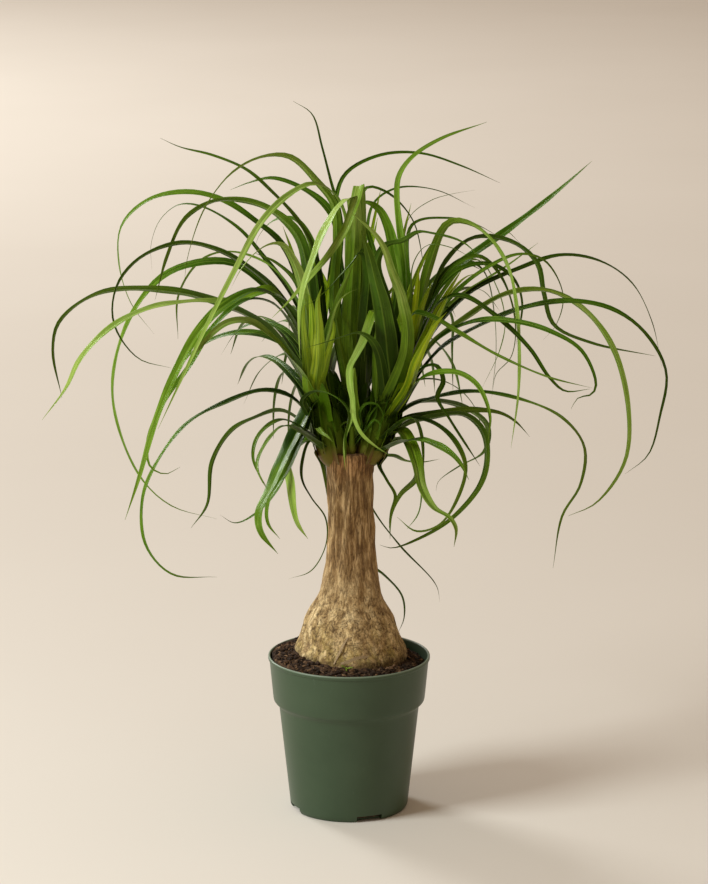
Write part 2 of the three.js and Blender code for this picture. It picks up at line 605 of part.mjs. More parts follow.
// A leaf read from the picture, as points in space
function readLine(head, row, swing) {
  const [, , tipDepth, , line] = row;
  const first = onSightLine(line[0], head.foot.y);
  const root = shootPoint(head, first.z - SPRING_SLOPE * Math.abs(first.x - head.foot.x));
  const flat = line.map((spot) => onSightLine(spot, root.y));
  const runs = [root.distanceTo(flat[0])];
  for (let i = 1; i < flat.length; i += 1) {
    runs.push(runs[i - 1] + flat[i].distanceTo(flat[i - 1]));
  }
  const whole = runs[runs.length - 1];
  const points = line.map((spot, i) => {
    const gone = smoothstep(runs[i] / whole, 0, 1);
    return onSightLine(spot, root.y + (tipDepth + swing - root.y) * gone);
  });
  return [root, ...points];
}

// A leaf by rule: it rises from the shoot and arches over under its own weight
function archedLine(head, leaf, swing) {
  const root = shootPoint(head, leaf.springs);
  const points = [root];
  for (let i = 1; i <= ARCH_SPANS; i += 1) {
    const gone = (i - 0.5) / ARCH_SPANS;
    const slope = leaf.rise - leaf.droop * gone ** ARCH_POWER;
    const heading = leaf.heading + leaf.sway * gone + swing * TURN_PER_SWING;
    const step = leaf.long / ARCH_SPANS;
    const next = points[i - 1].clone();
    next.x += step * Math.cos(slope) * Math.cos(heading);
    next.y += step * Math.cos(slope) * Math.sin(heading);
    next.z += step * Math.sin(slope);
    points.push(next);
  }
  return points;
}

// Even steps along the smooth curve through a leaf's points, with the blade's directions at each
function fineSpine(controls, twist) {
  const curve = new THREE.CatmullRomCurve3(controls);
  const dense = curve.getPoints((controls.length - 1) * STEPS_PER_SPAN);
  const runs = [0];
  for (let i = 1; i < dense.length; i += 1) {
    runs.push(runs[i - 1] + dense[i].distanceTo(dense[i - 1]));
  }
  const long = runs[runs.length - 1];
  const spots = [];
  let at = 0;
  for (let i = 0; i <= FINE_STEPS; i += 1) {
    const run = (long * i) / FINE_STEPS;
    while (at < dense.length - 2 && runs[at + 1] < run) {
      at += 1;
    }
    const share = (run - runs[at]) / (runs[at + 1] - runs[at]);
    spots.push(dense[at].clone().lerp(dense[at + 1], clamp(share, 0, 1)));
  }
  const reach = spots[Math.round(FINE_STEPS * REACH_AT)].clone().sub(spots[0]).setZ(0);
  if (reach.length() < 1) {
    reach.set(1, 0, 0);
  }
  reach.normalize();
  const level = new THREE.Vector3(reach.y, -reach.x, 0);
  return spots.map((spot, i) => {
    const along = spots[Math.min(i + 1, FINE_STEPS)].clone().sub(spots[Math.max(i - 1, 0)]).normalize();
    level.addScaledVector(along, -level.dot(along)).normalize();
    const turn = twist * reach.x * lerp(START_TURN, 1, i / FINE_STEPS);
    const below = along.clone().cross(level);
    const side = level.clone().multiplyScalar(Math.cos(turn)).addScaledVector(below, Math.sin(turn));
    return { spot, along, side, below: along.clone().cross(side), gone: i / FINE_STEPS, long };
  });
}

// Half the blade's width so far along: a thin one tapers evenly, a broad one holds its width longer
function halfAt(wide, gone) {
  const power = Math.max(1, 1 + (wide - THIN_BLADE) * HOLD_PER_WIDTH);
  return (wide / 2) * (TIP_SHARE + (1 - TIP_SHARE) * (1 - gone ** power));
}

// Rings of the blade: one for every so much length and every so much bend
function bladeRings(fine, wide) {
  const spent = [0];
  for (let i = 1; i < fine.length; i += 1) {
    const bend = fine[i].along.angleTo(fine[i - 1].along);
    spent.push(spent[i - 1] + fine[0].long / FINE_STEPS / LENGTH_PER_RING + bend / TURN_PER_RING);
  }
  const whole = spent[spent.length - 1];
  const count = Math.max(3, Math.ceil(whole));
  const rings = [];
  for (let i = 0; i <= count; i += 1) {
    const pick = spent.findIndex((value) => value >= (whole * i) / count - 1e-9);
    const ring = fine[pick];
    rings.push({ ...ring, half: halfAt(wide, ring.gone), keel: lerp(KEEL_ROOT, KEEL_TIP, ring.gone) });
  }
  return rings;
}

// The blade as a closed solid: a flat top and a keel below, drawn to a point at the tip
function bladeGeometry(rings) {
  const corners = [];
  const faces = [];
  const last = rings.length - 1;
  rings.slice(0, last).forEach(({ spot, side, below, half, keel }) => {
    corners.push(spot.clone().addScaledVector(side, -half));
    corners.push(spot.clone().addScaledVector(side, half));
    corners.push(spot.clone().addScaledVector(below, keel));
  });
  corners.push(rings[last].spot.clone());
  for (let i = 0; i < last - 1; i += 1) {
    for (let k = 0; k < 3; k += 1) {
      const [a, b] = [i * 3 + k, i * 3 + ((k + 1) % 3)];
      faces.push([a, b, a + 3], [b, b + 3, a + 3]);
    }
  }
  const end = (last - 1) * 3;
  const tip = last * 3;
  faces.push([0, 2, 1], [end, end + 1, tip], [end + 1, end + 2, tip], [end + 2, end, tip]);
  const geometry = new THREE.BufferGeometry().setFromPoints(corners);
  geometry.setIndex(faces.flat());
  return geometry;
}

// Points spread over a blade, for telling whether it is clear of others
function bladeCloud(rings) {
  const cloud = [];
  for (let i = 1; i < rings.length; i += 1) {
    const [from, to] = [rings[i - 1], rings[i]];
    const steps = Math.ceil(from.spot.distanceTo(to.spot) / CLOUD_STEP);
    for (let s = 0; s < steps; s += 1) {
      const share = s / steps;
      const spot = from.spot.clone().lerp(to.spot, share);
      const side = from.side.clone().lerp(to.side, share);
      const half = lerp(from.half, to.half, share);
      const across = Math.ceil(half / CLOUD_STEP) + 1;
      for (let k = 0; k <= across; k += 1) {
        cloud.push(spot.clone().addScaledVector(side, half * ((2 * k) / across - 1)));
      }
    }
  }
  cloud.push(rings[rings.length - 1].spot);
  return cloud;
}

// The placed blades' points, kept by place so that near ones are found fast
class Crowd {
  constructor() {
    this.cells = new Map();
  }

  cellOf(point) {
    return [point.x, point.y, point.z].map((value) => Math.floor(value / CLEARANCE));
  }

  add(head, points) {
    for (const point of points) {
      const key = this.cellOf(point).join();
      if (!this.cells.has(key)) {
        this.cells.set(key, []);
      }
      this.cells.get(key).push({ head, point });
    }
  }

  touches(head, point) {
    const [cx, cy, cz] = this.cellOf(point);
    for (let x = cx - 1; x <= cx + 1; x += 1) {
      for (let y = cy - 1; y <= cy + 1; y += 1) {
        for (let z = cz - 1; z <= cz + 1; z += 1) {
          const near = this.cells.get([x, y, z].join()) ?? [];
          if (near.some((other) => other.head !== head && other.point.distanceTo(point) < CLEARANCE)) {
            return true;
          }
        }
      }
    }
    return false;
  }
}

// How far outside the trunk or another head's shoot a point lies
function clearOfStems(head, point) {
  if (point.z < TRUNK_TOP) {
    const away = Math.hypot(point.x - TRUNK_AT.x, point.y - TRUNK_AT.y);
    if (away < trunkRadiusAt(point.z) + CLEARANCE) {
      return false;
    }
  }
  return Object.values(HEADS).every((other) => {
    const top = other.shoot[other.shoot.length - 1][1];
    if (other === head || point.z < other.shoot[0][1] || point.z > top) {
      return true;
    }
    const stem = shootPoint(other, point.z);
    const radius = other.shoot.find((row) => row[1] >= point.z)[0];
    return Math.hypot(point.x - stem.x, point.y - stem.y) > radius + CLEARANCE / 2;
  });
}

// A leaf is swung aside until it clears the other heads: nearer or farther along the line of sight
// if it was read from the picture, and round its shoot if it grows by rule
function settle(head, crowd, wide, twist, lineAt) {
  for (const swing of SWINGS) {
    const rings = bladeRings(fineSpine(lineAt(swing), twist), wide);
    const cloud = bladeCloud(rings);
    const free = cloud.filter((point) => point.distanceTo(rings[0].spot) > head.rootZone);
    if (free.every((point) => clearOfStems(head, point) && !crowd.touches(head, point))) {
      crowd.add(head, cloud);
      return rings;
    }
  }
  return null;
}

// The leaves that grow by rule, each kind turned by the golden angle within its spread
function ruledLeaves(head) {
  const draw = drawsFrom(head.seed);
  const top = head.shoot[head.shoot.length - 1][1];
  const low = head.shoot[1][1];
  return head.grows.flatMap(([kind, count, facing, spread]) =>
    Array.from({ length: count }, (_, i) => {
      const age = (i + 0.5) / count;
      const round = ((i * GOLDEN_TURN) % (2 * Math.PI)) / Math.PI - 1;
      return {
        heading: degToRad(facing + round * spread),
        rise: degToRad(lerp(...kind.rise, age) + 10 * (draw() - 0.5)),
        droop: degToRad(lerp(...kind.droop, draw())),
        sway: degToRad(kind.sway * (2 * draw() - 1)),
        long: lerp(...kind.long, draw()),
        wide: lerp(...kind.wide, draw()),
        springs: lerp(low, top, lerp(...kind.springs, age)),
        twist: degToRad(kind.twist * draw()),
      };
    }),
  );
}

// Places every leaf: those read from the picture first, then those by rule
function placeLeaves() {
  const crowd = new Crowd();
  const placed = new Map(Object.values(HEADS).map((head) => [head, []]));
  for (const head of Object.values(HEADS)) {
    for (const row of head.read) {
      const [, wide, , twist] = row;
      const rings = settle(head, crowd, wide, degToRad(twist), (swing) => readLine(head, row, swing));
      if (rings) {
        placed.get(head).push(rings);
      }
    }
  }
  for (const head of Object.values(HEADS)) {
    for (const leaf of ruledLeaves(head)) {
      const rings = settle(head, crowd, leaf.wide, leaf.twist, (swing) => archedLine(head, leaf, swing));
      if (rings) {
        placed.get(head).push(rings);
      }
    }
  }
  return placed;
}

// A head: its shoot and leaves joined in one body, trimmed to sit on the trunk
function headMesh(name, head, blades, seat) {
  const ends = [[0, head.shoot[0][1]], ...head.shoot, [0, head.shoot[head.shoot.length - 1][1] + 3]];
  const shoot = turned(ends, SHOOT_SIDES, (point) => {
    const rise = point.z - head.foot.z;
    point.x += head.foot.x + head.lean.x * rise;
    point.y += head.foot.y + head.lean.y * rise;
  });
  const pieces = [shoot, ...blades.map(bladeGeometry)].map((geometry) => solidOf(geometry));
  const solid = wasm.Manifold.union(pieces).subtract(seat);
  return meshOf(name, geometryOf(solid), head.color, 0.55);
}

// A scrap of dead leaf that leans on the swollen base
function scrap(name, { line, wide, thick, lift }, seat, color) {
  const spotAt = ([turn, height], out) => {
    const radius = trunkRadiusAt(height) + out;
    return new THREE.Vector3(
      TRUNK_AT.x + radius * Math.cos(degToRad(turn)),
      TRUNK_AT.y + radius * Math.sin(degToRad(turn)),
      height,
    );
  };
  const spots = new THREE.CatmullRomCurve3(line.map((place) => spotAt(place, lift))).getPoints(6);
  const rings = spots.map((spot, i) => {
    const along = spots[Math.min(i + 1, 6)].clone().sub(spots[Math.max(i - 1, 0)]).normalize();
    const below = new THREE.Vector3(TRUNK_AT.x - spot.x, TRUNK_AT.y - spot.y, 0).normalize();
    const side = along.clone().cross(below).negate().normalize();
    return { spot, side, below, half: (wide / 2) * (1 - 0.5 * Math.abs(i / 3 - 1)), keel: thick };
  });
  return meshOf(name, geometryOf(solidOf(bladeGeometry(rings)).subtract(seat)), color, 0.9);
}

// Sprout: a seedling's stem and two leaves
function sprout() {
  const stem = new THREE.CylinderGeometry(SPROUT.stem, SPROUT.stem, SPROUT.tall, 6);
  stem.rotateX(Math.PI / 2);
  stem.translate(SPROUT_AT.x, SPROUT_AT.y, SPROUT_AT.z + SPROUT.tall / 2);
  const top = SPROUT_AT.clone().setZ(SPROUT_AT.z + SPROUT.tall - 1);
  const leaves = SPROUT.tips.map((tip) => {
    const end = new THREE.Vector3(...tip);
    const along = end.clone().sub(top).normalize();
    const side = new THREE.Vector3(0, -1, 0).addScaledVector(along, along.y).normalize();
    const below = along.clone().cross(side);
    below.multiplyScalar(below.z > 0 ? -1 : 1);
    const widths = [0.4, 1, 0.8, 0];
    return widths.map((share, i) => ({
      spot: top.clone().lerp(end, i / 3),
      side: below.clone().cross(along),
      below,
      half: (SPROUT.leaf / 2) * share,
      keel: SPROUT.thick,
    }));
  });
  const pieces = [stem, ...leaves.map(bladeGeometry)].map((geometry) => solidOf(geometry));
  return meshOf("sprout", geometryOf(wasm.Manifold.union(pieces)), 0x8aa33a, 0.6);
}

const plant = new THREE.Group();
plant.add(pot(), soil(), sprout());
plant.add(meshOf("trunk", geometryOf(solidOf(trunkGeometry())), 0x8d7857, 0.9));

const seat = solidOf(trunkGeometry(GAP));
const placed = placeLeaves();
for (const [name, head] of Object.entries(HEADS)) {
  plant.add(headMesh(name, head, placed.get(head), seat));
}
plant.add(scrap("dry_leaf", DRY_LEAF, seat, 0xb39a63));
plant.add(scrap("dry_curl", DRY_CURL, seat, 0xc4a97a));

export default plant;
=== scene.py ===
"""A potted ponytail palm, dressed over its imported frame.

Lengths are millimetres while a piece is being worked out and metres in its mesh. +Z is up, +X is to
the right of the picture, +Y is away from it, and the origin is on the pot's axis at its foot.
"""

import math
import random
from functools import partial

import bmesh
import bpy
import numpy as np
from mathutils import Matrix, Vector


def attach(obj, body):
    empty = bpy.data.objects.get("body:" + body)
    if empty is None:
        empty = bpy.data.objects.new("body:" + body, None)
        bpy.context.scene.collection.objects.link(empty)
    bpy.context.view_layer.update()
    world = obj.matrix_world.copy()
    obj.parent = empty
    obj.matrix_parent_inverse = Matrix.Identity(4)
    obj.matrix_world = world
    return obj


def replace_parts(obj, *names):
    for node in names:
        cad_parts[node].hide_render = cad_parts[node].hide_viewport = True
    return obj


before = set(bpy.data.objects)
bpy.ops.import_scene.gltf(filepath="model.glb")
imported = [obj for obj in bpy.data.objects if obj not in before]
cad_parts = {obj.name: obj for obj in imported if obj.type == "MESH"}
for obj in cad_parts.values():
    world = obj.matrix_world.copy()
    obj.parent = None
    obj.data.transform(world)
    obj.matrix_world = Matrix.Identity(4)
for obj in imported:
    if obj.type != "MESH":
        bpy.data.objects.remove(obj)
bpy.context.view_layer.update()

MM = 0.001
TAU = 2 * math.pi

# The picture's view, which the leaves' lines are read in
PICTURE_WIDTH = 708
PICTURE_HEIGHT = 884
FOCAL_PIXELS = 3530
EYE = np.array([5.0, -3452.0, 1182.0])
EYE_DIP = math.radians(13.055)
SENSOR = 36

# Pot
POT_HEIGHT = 160
RIM_RADIUS = 82.5
COLLAR_RADIUS = 77.2
COLLAR_LOW = 115
BODY_TOP_RADIUS = 71.4
BODY_TOP = 108
BODY_LOW_RADIUS = 60.4
FOOT_RADIUS = 58.5
WALL = 2
FLOOR = 2.4
NOTCH_WIDTH = 26.7
NOTCH_HEIGHT = 6
NOTCH_DEPTH = 12
NOTCH_COUNT = 4
NOTCH_TURN = math.radians(-69.5)
POT_SIDES = 192
POT_EDGE_ANGLE = 35
RIM_WOBBLE = 0.25

# Soil
SOIL_EDGE = 154.5
SOIL_CROWN = 161
SOIL_TILT = -0.075
CLOD_HEIGHT = 1.8
GAP = 0.35
SOIL_SIDES = 260
SOIL_RINGS = 46
CRUMBS = 1900
CRUMB_SIZES = [0.7, 1.0, 1.3, 1.8, 2.5]
CHIP_SHARE = 0.2
CHIP_STRETCH = [1.9, 0.5, 0.35]

# Trunk
TRUNK_AT = (1.5, 3.0)
SOIL_LINE = 160
TRUNK_FOOT = 120
TRUNK_TOP = 373
BARK_RELIEF = 1.1
BARK_SIDES = 340
BARK_STEP = 0.98
BULB_ENDS = (215, 262)
CRACK_DEPTH = 0.7
LUMP_RELIEF = 0.55
RIDGE_RELIEF = 1.6
RIDGES_AT = (234, 26)
FLAT_SHOULDER = 4.2
SHOULDER_AT = (207, 17)
BURIED = [[26, TRUNK_FOOT], [41, 127], [52.5, 139], [57.2, 151], [57.6, SOIL_LINE]]
RISING = [
    [56, 166], [51.5, 175], [48, 187], [45.3, 197], [40.2, 207], [34.8, 218], [31.2, 229], [28.6, 240],
    [25.6, 254], [23.7, 268], [22.8, 284], [22.2, 302], [22, 325], [22.1, 343], [23.2, 354], [23.6, 364],
]
CUT_TOP = [
    [22.9, 370.8], [22, 372.2], [20.5, 372.8], [18.5, 372.6],
    [16, 371.6], [13, 370], [9, 367.5], [4, 366],
]

# Leaves
STEPS_PER_SPAN = 10
FINE_STEPS = 60
LENGTH_PER_RING = 178
TURN_PER_RING = math.radians(54)
THIN_BLADE = 9.5
HOLD_PER_WIDTH = 0.11
TIP_SHARE = 0.14
REACH_AT = 0.6
START_TURN = 0.5
CLEARANCE = 6
CLOUD_STEP = 5
SWINGS = [0, 16, -16, 32, -32, 48, -48, 66, -66, 86, -86]
TURN_PER_SWING = math.radians(0.4)
GOLDEN_TURN = math.radians(137.5)
SPRING_SLOPE = 1.4

# Leaves read from the picture, root side first:
# name, width, depth of the tip behind the pot's axis, twist to the tip in degrees, line in pixels
LEFT_LEAVES = [
    ["low far arch", 15, -70, -60, [[300, 372], [262, 325], [212, 301], [170, 291], [100, 293],
        [60, 321], [53, 350], [62, 398]]],
    ["bright far arch", 16, -140, 20, [[298, 330], [273, 291], [235, 301], [190, 302], [150, 308],
        [110, 328], [80, 359], [66, 388], [42, 420]]],
    ["high arch", 11, 70, 50, [[303, 300], [282, 245], [255, 221], [225, 201], [190, 192], [150, 199],
        [122, 225], [119, 262], [131, 303], [154, 334]]],
    ["thin high arch", 9, 150, 20, [[300, 310], [262, 255], [237, 227], [200, 206], [178, 205],
        [160, 220], [151, 245], [152, 270]]],
    ["inner arch", 16, -60, -50, [[312, 305], [300, 240], [283, 219], [262, 206], [236, 200],
        [212, 202], [185, 219], [167, 257], [155, 300]]],
    ["thin inner arch", 9, 60, -60, [[305, 320], [275, 270], [240, 253], [213, 254], [195, 266],
        [178, 297], [178, 339]]],
    ["dark drop", 11, -100, -65, [[305, 340], [280, 297], [252, 270], [215, 249], [180, 243],
        [140, 258], [117, 286], [114, 323], [138, 358], [171, 368]]],
    ["long drop", 11, 90, 70, [[298, 325], [270, 290], [235, 264], [197, 263], [162, 277], [130, 318],
        [113, 378], [118, 425], [142, 479], [172, 506], [217, 519]]],
    ["broad fall", 16, -230, 35, [[303, 335], [280, 300], [255, 291], [230, 302], [208, 320],
        [183, 358], [157, 417], [139, 478], [125, 520]]],
    ["hooked fall", 12, -170, 30, [[302, 350], [275, 305], [247, 300], [215, 325], [188, 368],
        [165, 400], [148, 440], [150, 466], [165, 474], [180, 467]]],
    ["bright curl", 15, -120, 80, [[302, 374], [273, 338], [248, 321], [226, 323], [205, 341],
        [186, 366]]],
    ["low hook", 11, -80, 25, [[306, 412], [288, 396], [262, 391], [225, 403], [187, 424], [158, 461],
        [143, 497], [146, 545], [172, 574], [217, 577]]],
    ["low drop", 11, 60, -60, [[301, 422], [280, 411], [255, 418], [232, 430], [212, 462], [207, 505],
        [191, 528]]],
    ["top thread", 11, 30, 20, [[322, 300], [312, 245], [296, 218], [272, 192], [247, 170], [212, 155],
        [180, 147], [160, 138]]],
    ["back fold", 14, 180, 25, [[316, 300], [312, 244], [295, 219], [275, 220], [260, 234],
        [254, 250]]],
    ["bright front fold", 16, -210, 0, [[312, 355], [305, 300], [294, 262], [280, 244], [262, 248],
        [242, 268], [230, 290]]],
    ["dark stub", 14, -70, -35, [[306, 340], [298, 285], [275, 262], [255, 253]]],
    ["front ribbon", 19, -130, 66, [[322, 398], [312, 404], [303, 420], [294, 438], [282, 462],
        [272, 485], [259, 513], [261, 532], [278, 554]]],
    ["front ribbon twin", 13, -90, 40, [[313, 408], [303, 432], [287, 470], [268, 503], [268, 523],
        [280, 539]]],
    ["front thread", 9, -60, 30, [[308, 418], [293, 452], [277, 490], [255, 514], [235, 523],
        [220, 515]]],
    ["small loop", 10, -170, 20, [[302, 428], [280, 420], [258, 436], [253, 458], [260, 476],
        [268, 489]]],
    ["small inner loop", 11, -220, -40, [[303, 434], [284, 426], [264, 446], [257, 466], [262, 481],
        [268, 490]]],
    ["pale stub", 16, -50, 40, [[308, 440], [288, 460], [291, 482], [294, 510], [298, 524],
        [308, 539]]],
    ["neck thread", 9, -40, 20, [[312, 440], [303, 462], [303, 480], [312, 498], [326, 518], [326, 545],
        [311, 571], [288, 579]]],
    ["neck stub", 9, 20, -80, [[318, 450], [323, 463], [326, 482], [329, 505]]],
    ["short pale tongue", 10, -60, -80, [[318, 428], [322, 433], [328, 437], [333, 442]]],
    ["cross blade", 13, -60, -40, [[318, 380], [325, 345], [331, 322], [338, 299], [348, 275],
        [356, 260]]],
    ["arching pale thread", 9, -130, 0, [[303, 402], [314, 392], [334, 396], [349, 413], [345, 440],
        [347, 471]]],
    ["bright heart one", 17, -75, 0, [[312, 392], [314, 362], [313, 330], [311, 305], [308, 290]]],
    ["bright heart two", 16, -85, 0, [[317, 392], [319, 356], [319, 326], [318, 300], [322, 286]]],
    ["bright heart three", 12, -60, 0, [[319, 394], [326, 362], [332, 340], [334, 326], [331, 314]]],
    ["bright heart four", 14, -50, -35, [[310, 396], [307, 362], [304, 335], [303, 315], [306, 298]]],
    ["heart five", 14, -50, 0, [[320, 396], [326, 352], [333, 318], [342, 292], [352, 268]]],
    ["heart six", 12, 40, 0, [[316, 392], [321, 340], [327, 300], [333, 268], [338, 250]]],
    ["dark heart seven", 13, 60, 0, [[322, 398], [330, 370], [337, 345], [342, 325], [347, 308]]],
    ["pale small leaf", 6, -100, 0, [[322, 372], [330, 330], [336, 308], [341, 299], [350, 292],
        [361, 288]]],
]
RIGHT_LEAVES = [
    ["far arch", 11, -70, 40, [[405, 396], [440, 350], [472, 330], [520, 309], [568, 301], [612, 309],
        [645, 333], [666, 372], [660, 415], [648, 455], [625, 474]]],
    ["light far arch", 12, 60, -65, [[407, 390], [432, 345], [468, 317], [507, 294], [548, 291],
        [583, 309], [612, 346], [628, 405], [625, 461], [596, 503], [568, 516]]],
    ["thin far arch", 9, 120, 50, [[412, 370], [437, 326], [472, 291], [520, 268], [560, 255],
        [600, 261], [632, 283], [652, 322], [662, 368]]],
    ["hooked arch", 11, -150, 60, [[412, 375], [440, 338], [476, 321], [513, 321], [550, 331],
        [582, 351], [596, 384], [592, 394], [578, 398], [571, 409]]],
    ["high arch", 11, 80, -70, [[420, 330], [446, 262], [474, 238], [512, 242], [537, 263], [544, 294],
        [554, 325], [592, 343], [655, 356]]],
    ["bright lead", 13, -70, -65, [[413, 345], [428, 270], [449, 223], [470, 224], [491, 240],
        [508, 268], [516, 305], [519, 350], [518, 395], [511, 448]]],
    ["spear", 17, 70, 25, [[405, 380], [418, 312], [438, 284], [470, 257], [512, 227], [552, 196],
        [592, 161]]],
    ["thin loop", 8, 40, 50, [[418, 350], [450, 298], [488, 267], [520, 254], [545, 261], [563, 295],
        [556, 325], [543, 340]]],
    ["short thread", 8, 130, 50, [[420, 330], [455, 275], [487, 243], [505, 231], [520, 243]]],
    ["thin tip", 9, 170, 40, [[418, 340], [455, 300], [508, 265], [538, 243]]],
    ["low far arch", 11, -90, 20, [[404, 411], [432, 399], [472, 392], [518, 399], [562, 418],
        [584, 447], [580, 485], [562, 516], [553, 568]]],
    ["low blunt arch", 13, 90, 55, [[404, 422], [427, 416], [468, 410], [500, 413], [516, 422],
        [530, 437]]],
    ["long slant", 11, -130, 20, [[403, 365], [408, 325], [415, 313], [434, 318], [456, 331],
        [497, 355], [548, 377], [592, 388]]],
    ["dark slant", 12, -90, 40, [[417, 345], [440, 302], [462, 296], [497, 317], [530, 349], [549, 377],
        [565, 391], [590, 389]]],
    ["inner droop", 10, 90, 40, [[418, 330], [445, 280], [468, 262], [484, 272], [494, 312], [496, 353],
        [491, 400]]],
    ["thin droop", 8, 150, 40, [[417, 320], [450, 270], [478, 260], [497, 288], [505, 322], [499, 352],
        [482, 388]]],
    ["crossing droop", 9, 60, 60, [[420, 320], [450, 268], [478, 256], [500, 275], [515, 320],
        [511, 357], [496, 374], [492, 396]]],
    ["dark droop", 11, 40, 60, [[424, 310], [458, 270], [490, 264], [513, 278], [522, 302],
        [516, 345]]],
    ["low curl", 12, -120, 50, [[404, 402], [421, 379], [441, 372], [462, 374], [479, 387], [490, 416],
        [488, 442]]],
    ["great curl", 11, 40, -75, [[408, 425], [436, 417], [464, 415], [482, 430], [487, 457], [480, 485],
        [451, 519], [418, 539], [392, 548], [380, 545]]],
    ["dark twist", 11, -70, 35, [[406, 396], [422, 369], [436, 366], [443, 381], [437, 397], [450, 420],
        [480, 466]]],
    ["hanging thread", 8, 140, 0, [[422, 335], [444, 306], [452, 318], [452, 350], [453, 392]]],
    ["short dark drop", 12, -80, -25, [[402, 422], [414, 419], [421, 434], [424, 470]]],
    ["bright front drop", 16, -110, 60, [[400, 431], [410, 444], [417, 464], [422, 488], [434, 508],
        [450, 518], [456, 529], [454, 547]]],
    ["blunt front arch", 16, -160, 20, [[403, 442], [424, 441], [446, 450], [460, 463], [469, 480]]],
    ["thin round drop", 11, -50, 25, [[408, 420], [430, 422], [452, 438], [465, 465], [459, 494],
        [440, 524], [416, 531], [397, 517]]],
    ["foot thread", 7, 70, -75, [[393, 456], [406, 461], [424, 462], [440, 459]]],
    ["neck leaf", 11, -30, 25, [[384, 452], [378, 464], [386, 480], [395, 496], [391, 512],
        [389, 528]]],
    ["hidden drop", 11, 60, -55, [[400, 438], [414, 458], [416, 478], [400, 495], [391, 515],
        [390, 539]]],
    ["thin back drop", 8, 110, 30, [[402, 440], [418, 468], [421, 500], [417, 516], [407, 529]]],
    ["reaching thread", 11, 170, -80, [[404, 408], [450, 403], [487, 425], [484, 452], [458, 467],
        [438, 482], [436, 491]]],
    ["tall leaf", 12, 60, 0, [[409, 345], [409, 300], [405, 262], [400, 228], [397, 195], [399, 176],
        [411, 158], [440, 139], [487, 122]]],
    ["broad leaf", 20, 60, 0, [[402, 330], [400, 285], [394, 250], [388, 226], [379, 209], [366, 202],
        [352, 206]]],
    ["pale folded leaf", 15, -150, 0, [[407, 350], [402, 300], [392, 272], [384, 248], [374, 233],
        [362, 222], [349, 211]]],
    ["side arch", 13, -120, 45, [[396, 350], [386, 300], [377, 262], [386, 245], [402, 241], [418, 232],
        [430, 233], [464, 243], [490, 270]]],
    ["side thread", 8, 60, 30, [[408, 300], [412, 225], [448, 218], [475, 224], [498, 236]]],
    ["low side thread", 8, -60, 60, [[410, 320], [414, 262], [428, 245], [452, 248], [478, 262]]],
    ["raised thread", 7, 20, -60, [[406, 300], [408, 220], [430, 201], [452, 194], [475, 190]]],
    ["great dark leaf", 23, -95, 0, [[390, 388], [387, 350], [385, 330], [381, 305], [375, 280],
        [369, 255], [361, 230]]],
    ["bright heart one", 17, -70, -40, [[402, 392], [410, 352], [418, 320], [426, 296], [433, 280]]],
    ["bright heart two", 17, -60, -30, [[405, 394], [418, 356], [432, 322], [446, 296], [464, 266]]],
    ["bright heart three", 14, -50, -30, [[406, 398], [422, 354], [438, 318], [450, 294], [466, 277],
        [479, 273]]],
    ["bright heart four", 17, -60, -45, [[404, 390], [408, 350], [413, 318], [417, 290], [419, 266]]],
    ["heart five", 13, 30, 50, [[400, 392], [403, 350], [405, 318], [405, 296], [403, 280]]],
    ["bright heart six", 17, -80, -25, [[407, 392], [417, 362], [428, 338], [438, 322], [447, 312]]],
    ["dark upright", 15, 20, 15, [[392, 402], [388, 356], [384, 316], [379, 280], [374, 252]]],
    ["dark upright two", 14, -20, -55, [[395, 404], [393, 360], [393, 322], [396, 294], [392, 268]]],
    ["dark upright three", 14, 40, 0, [[388, 404], [379, 366], [372, 330], [366, 296], [361, 268]]],
    ["dark low cross leaf", 12, -110, -95, [[384, 384], [378, 352], [369, 338], [358, 333], [345, 336],
        [330, 341], [316, 345], [304, 348]]],
    ["pale front leaf", 14, -95, 0, [[378, 400], [377, 372], [378, 345], [379, 322], [375, 311],
        [370, 322], [364, 340], [357, 354], [350, 368], [350, 384], [353, 400], [355, 420], [362, 434],
        [374, 445], [389, 455]]],
    ["dark leaf behind", 16, 40, 0, [[390, 388], [386, 345], [382, 310], [378, 280], [374, 255],
        [368, 232], [362, 212]]],
]
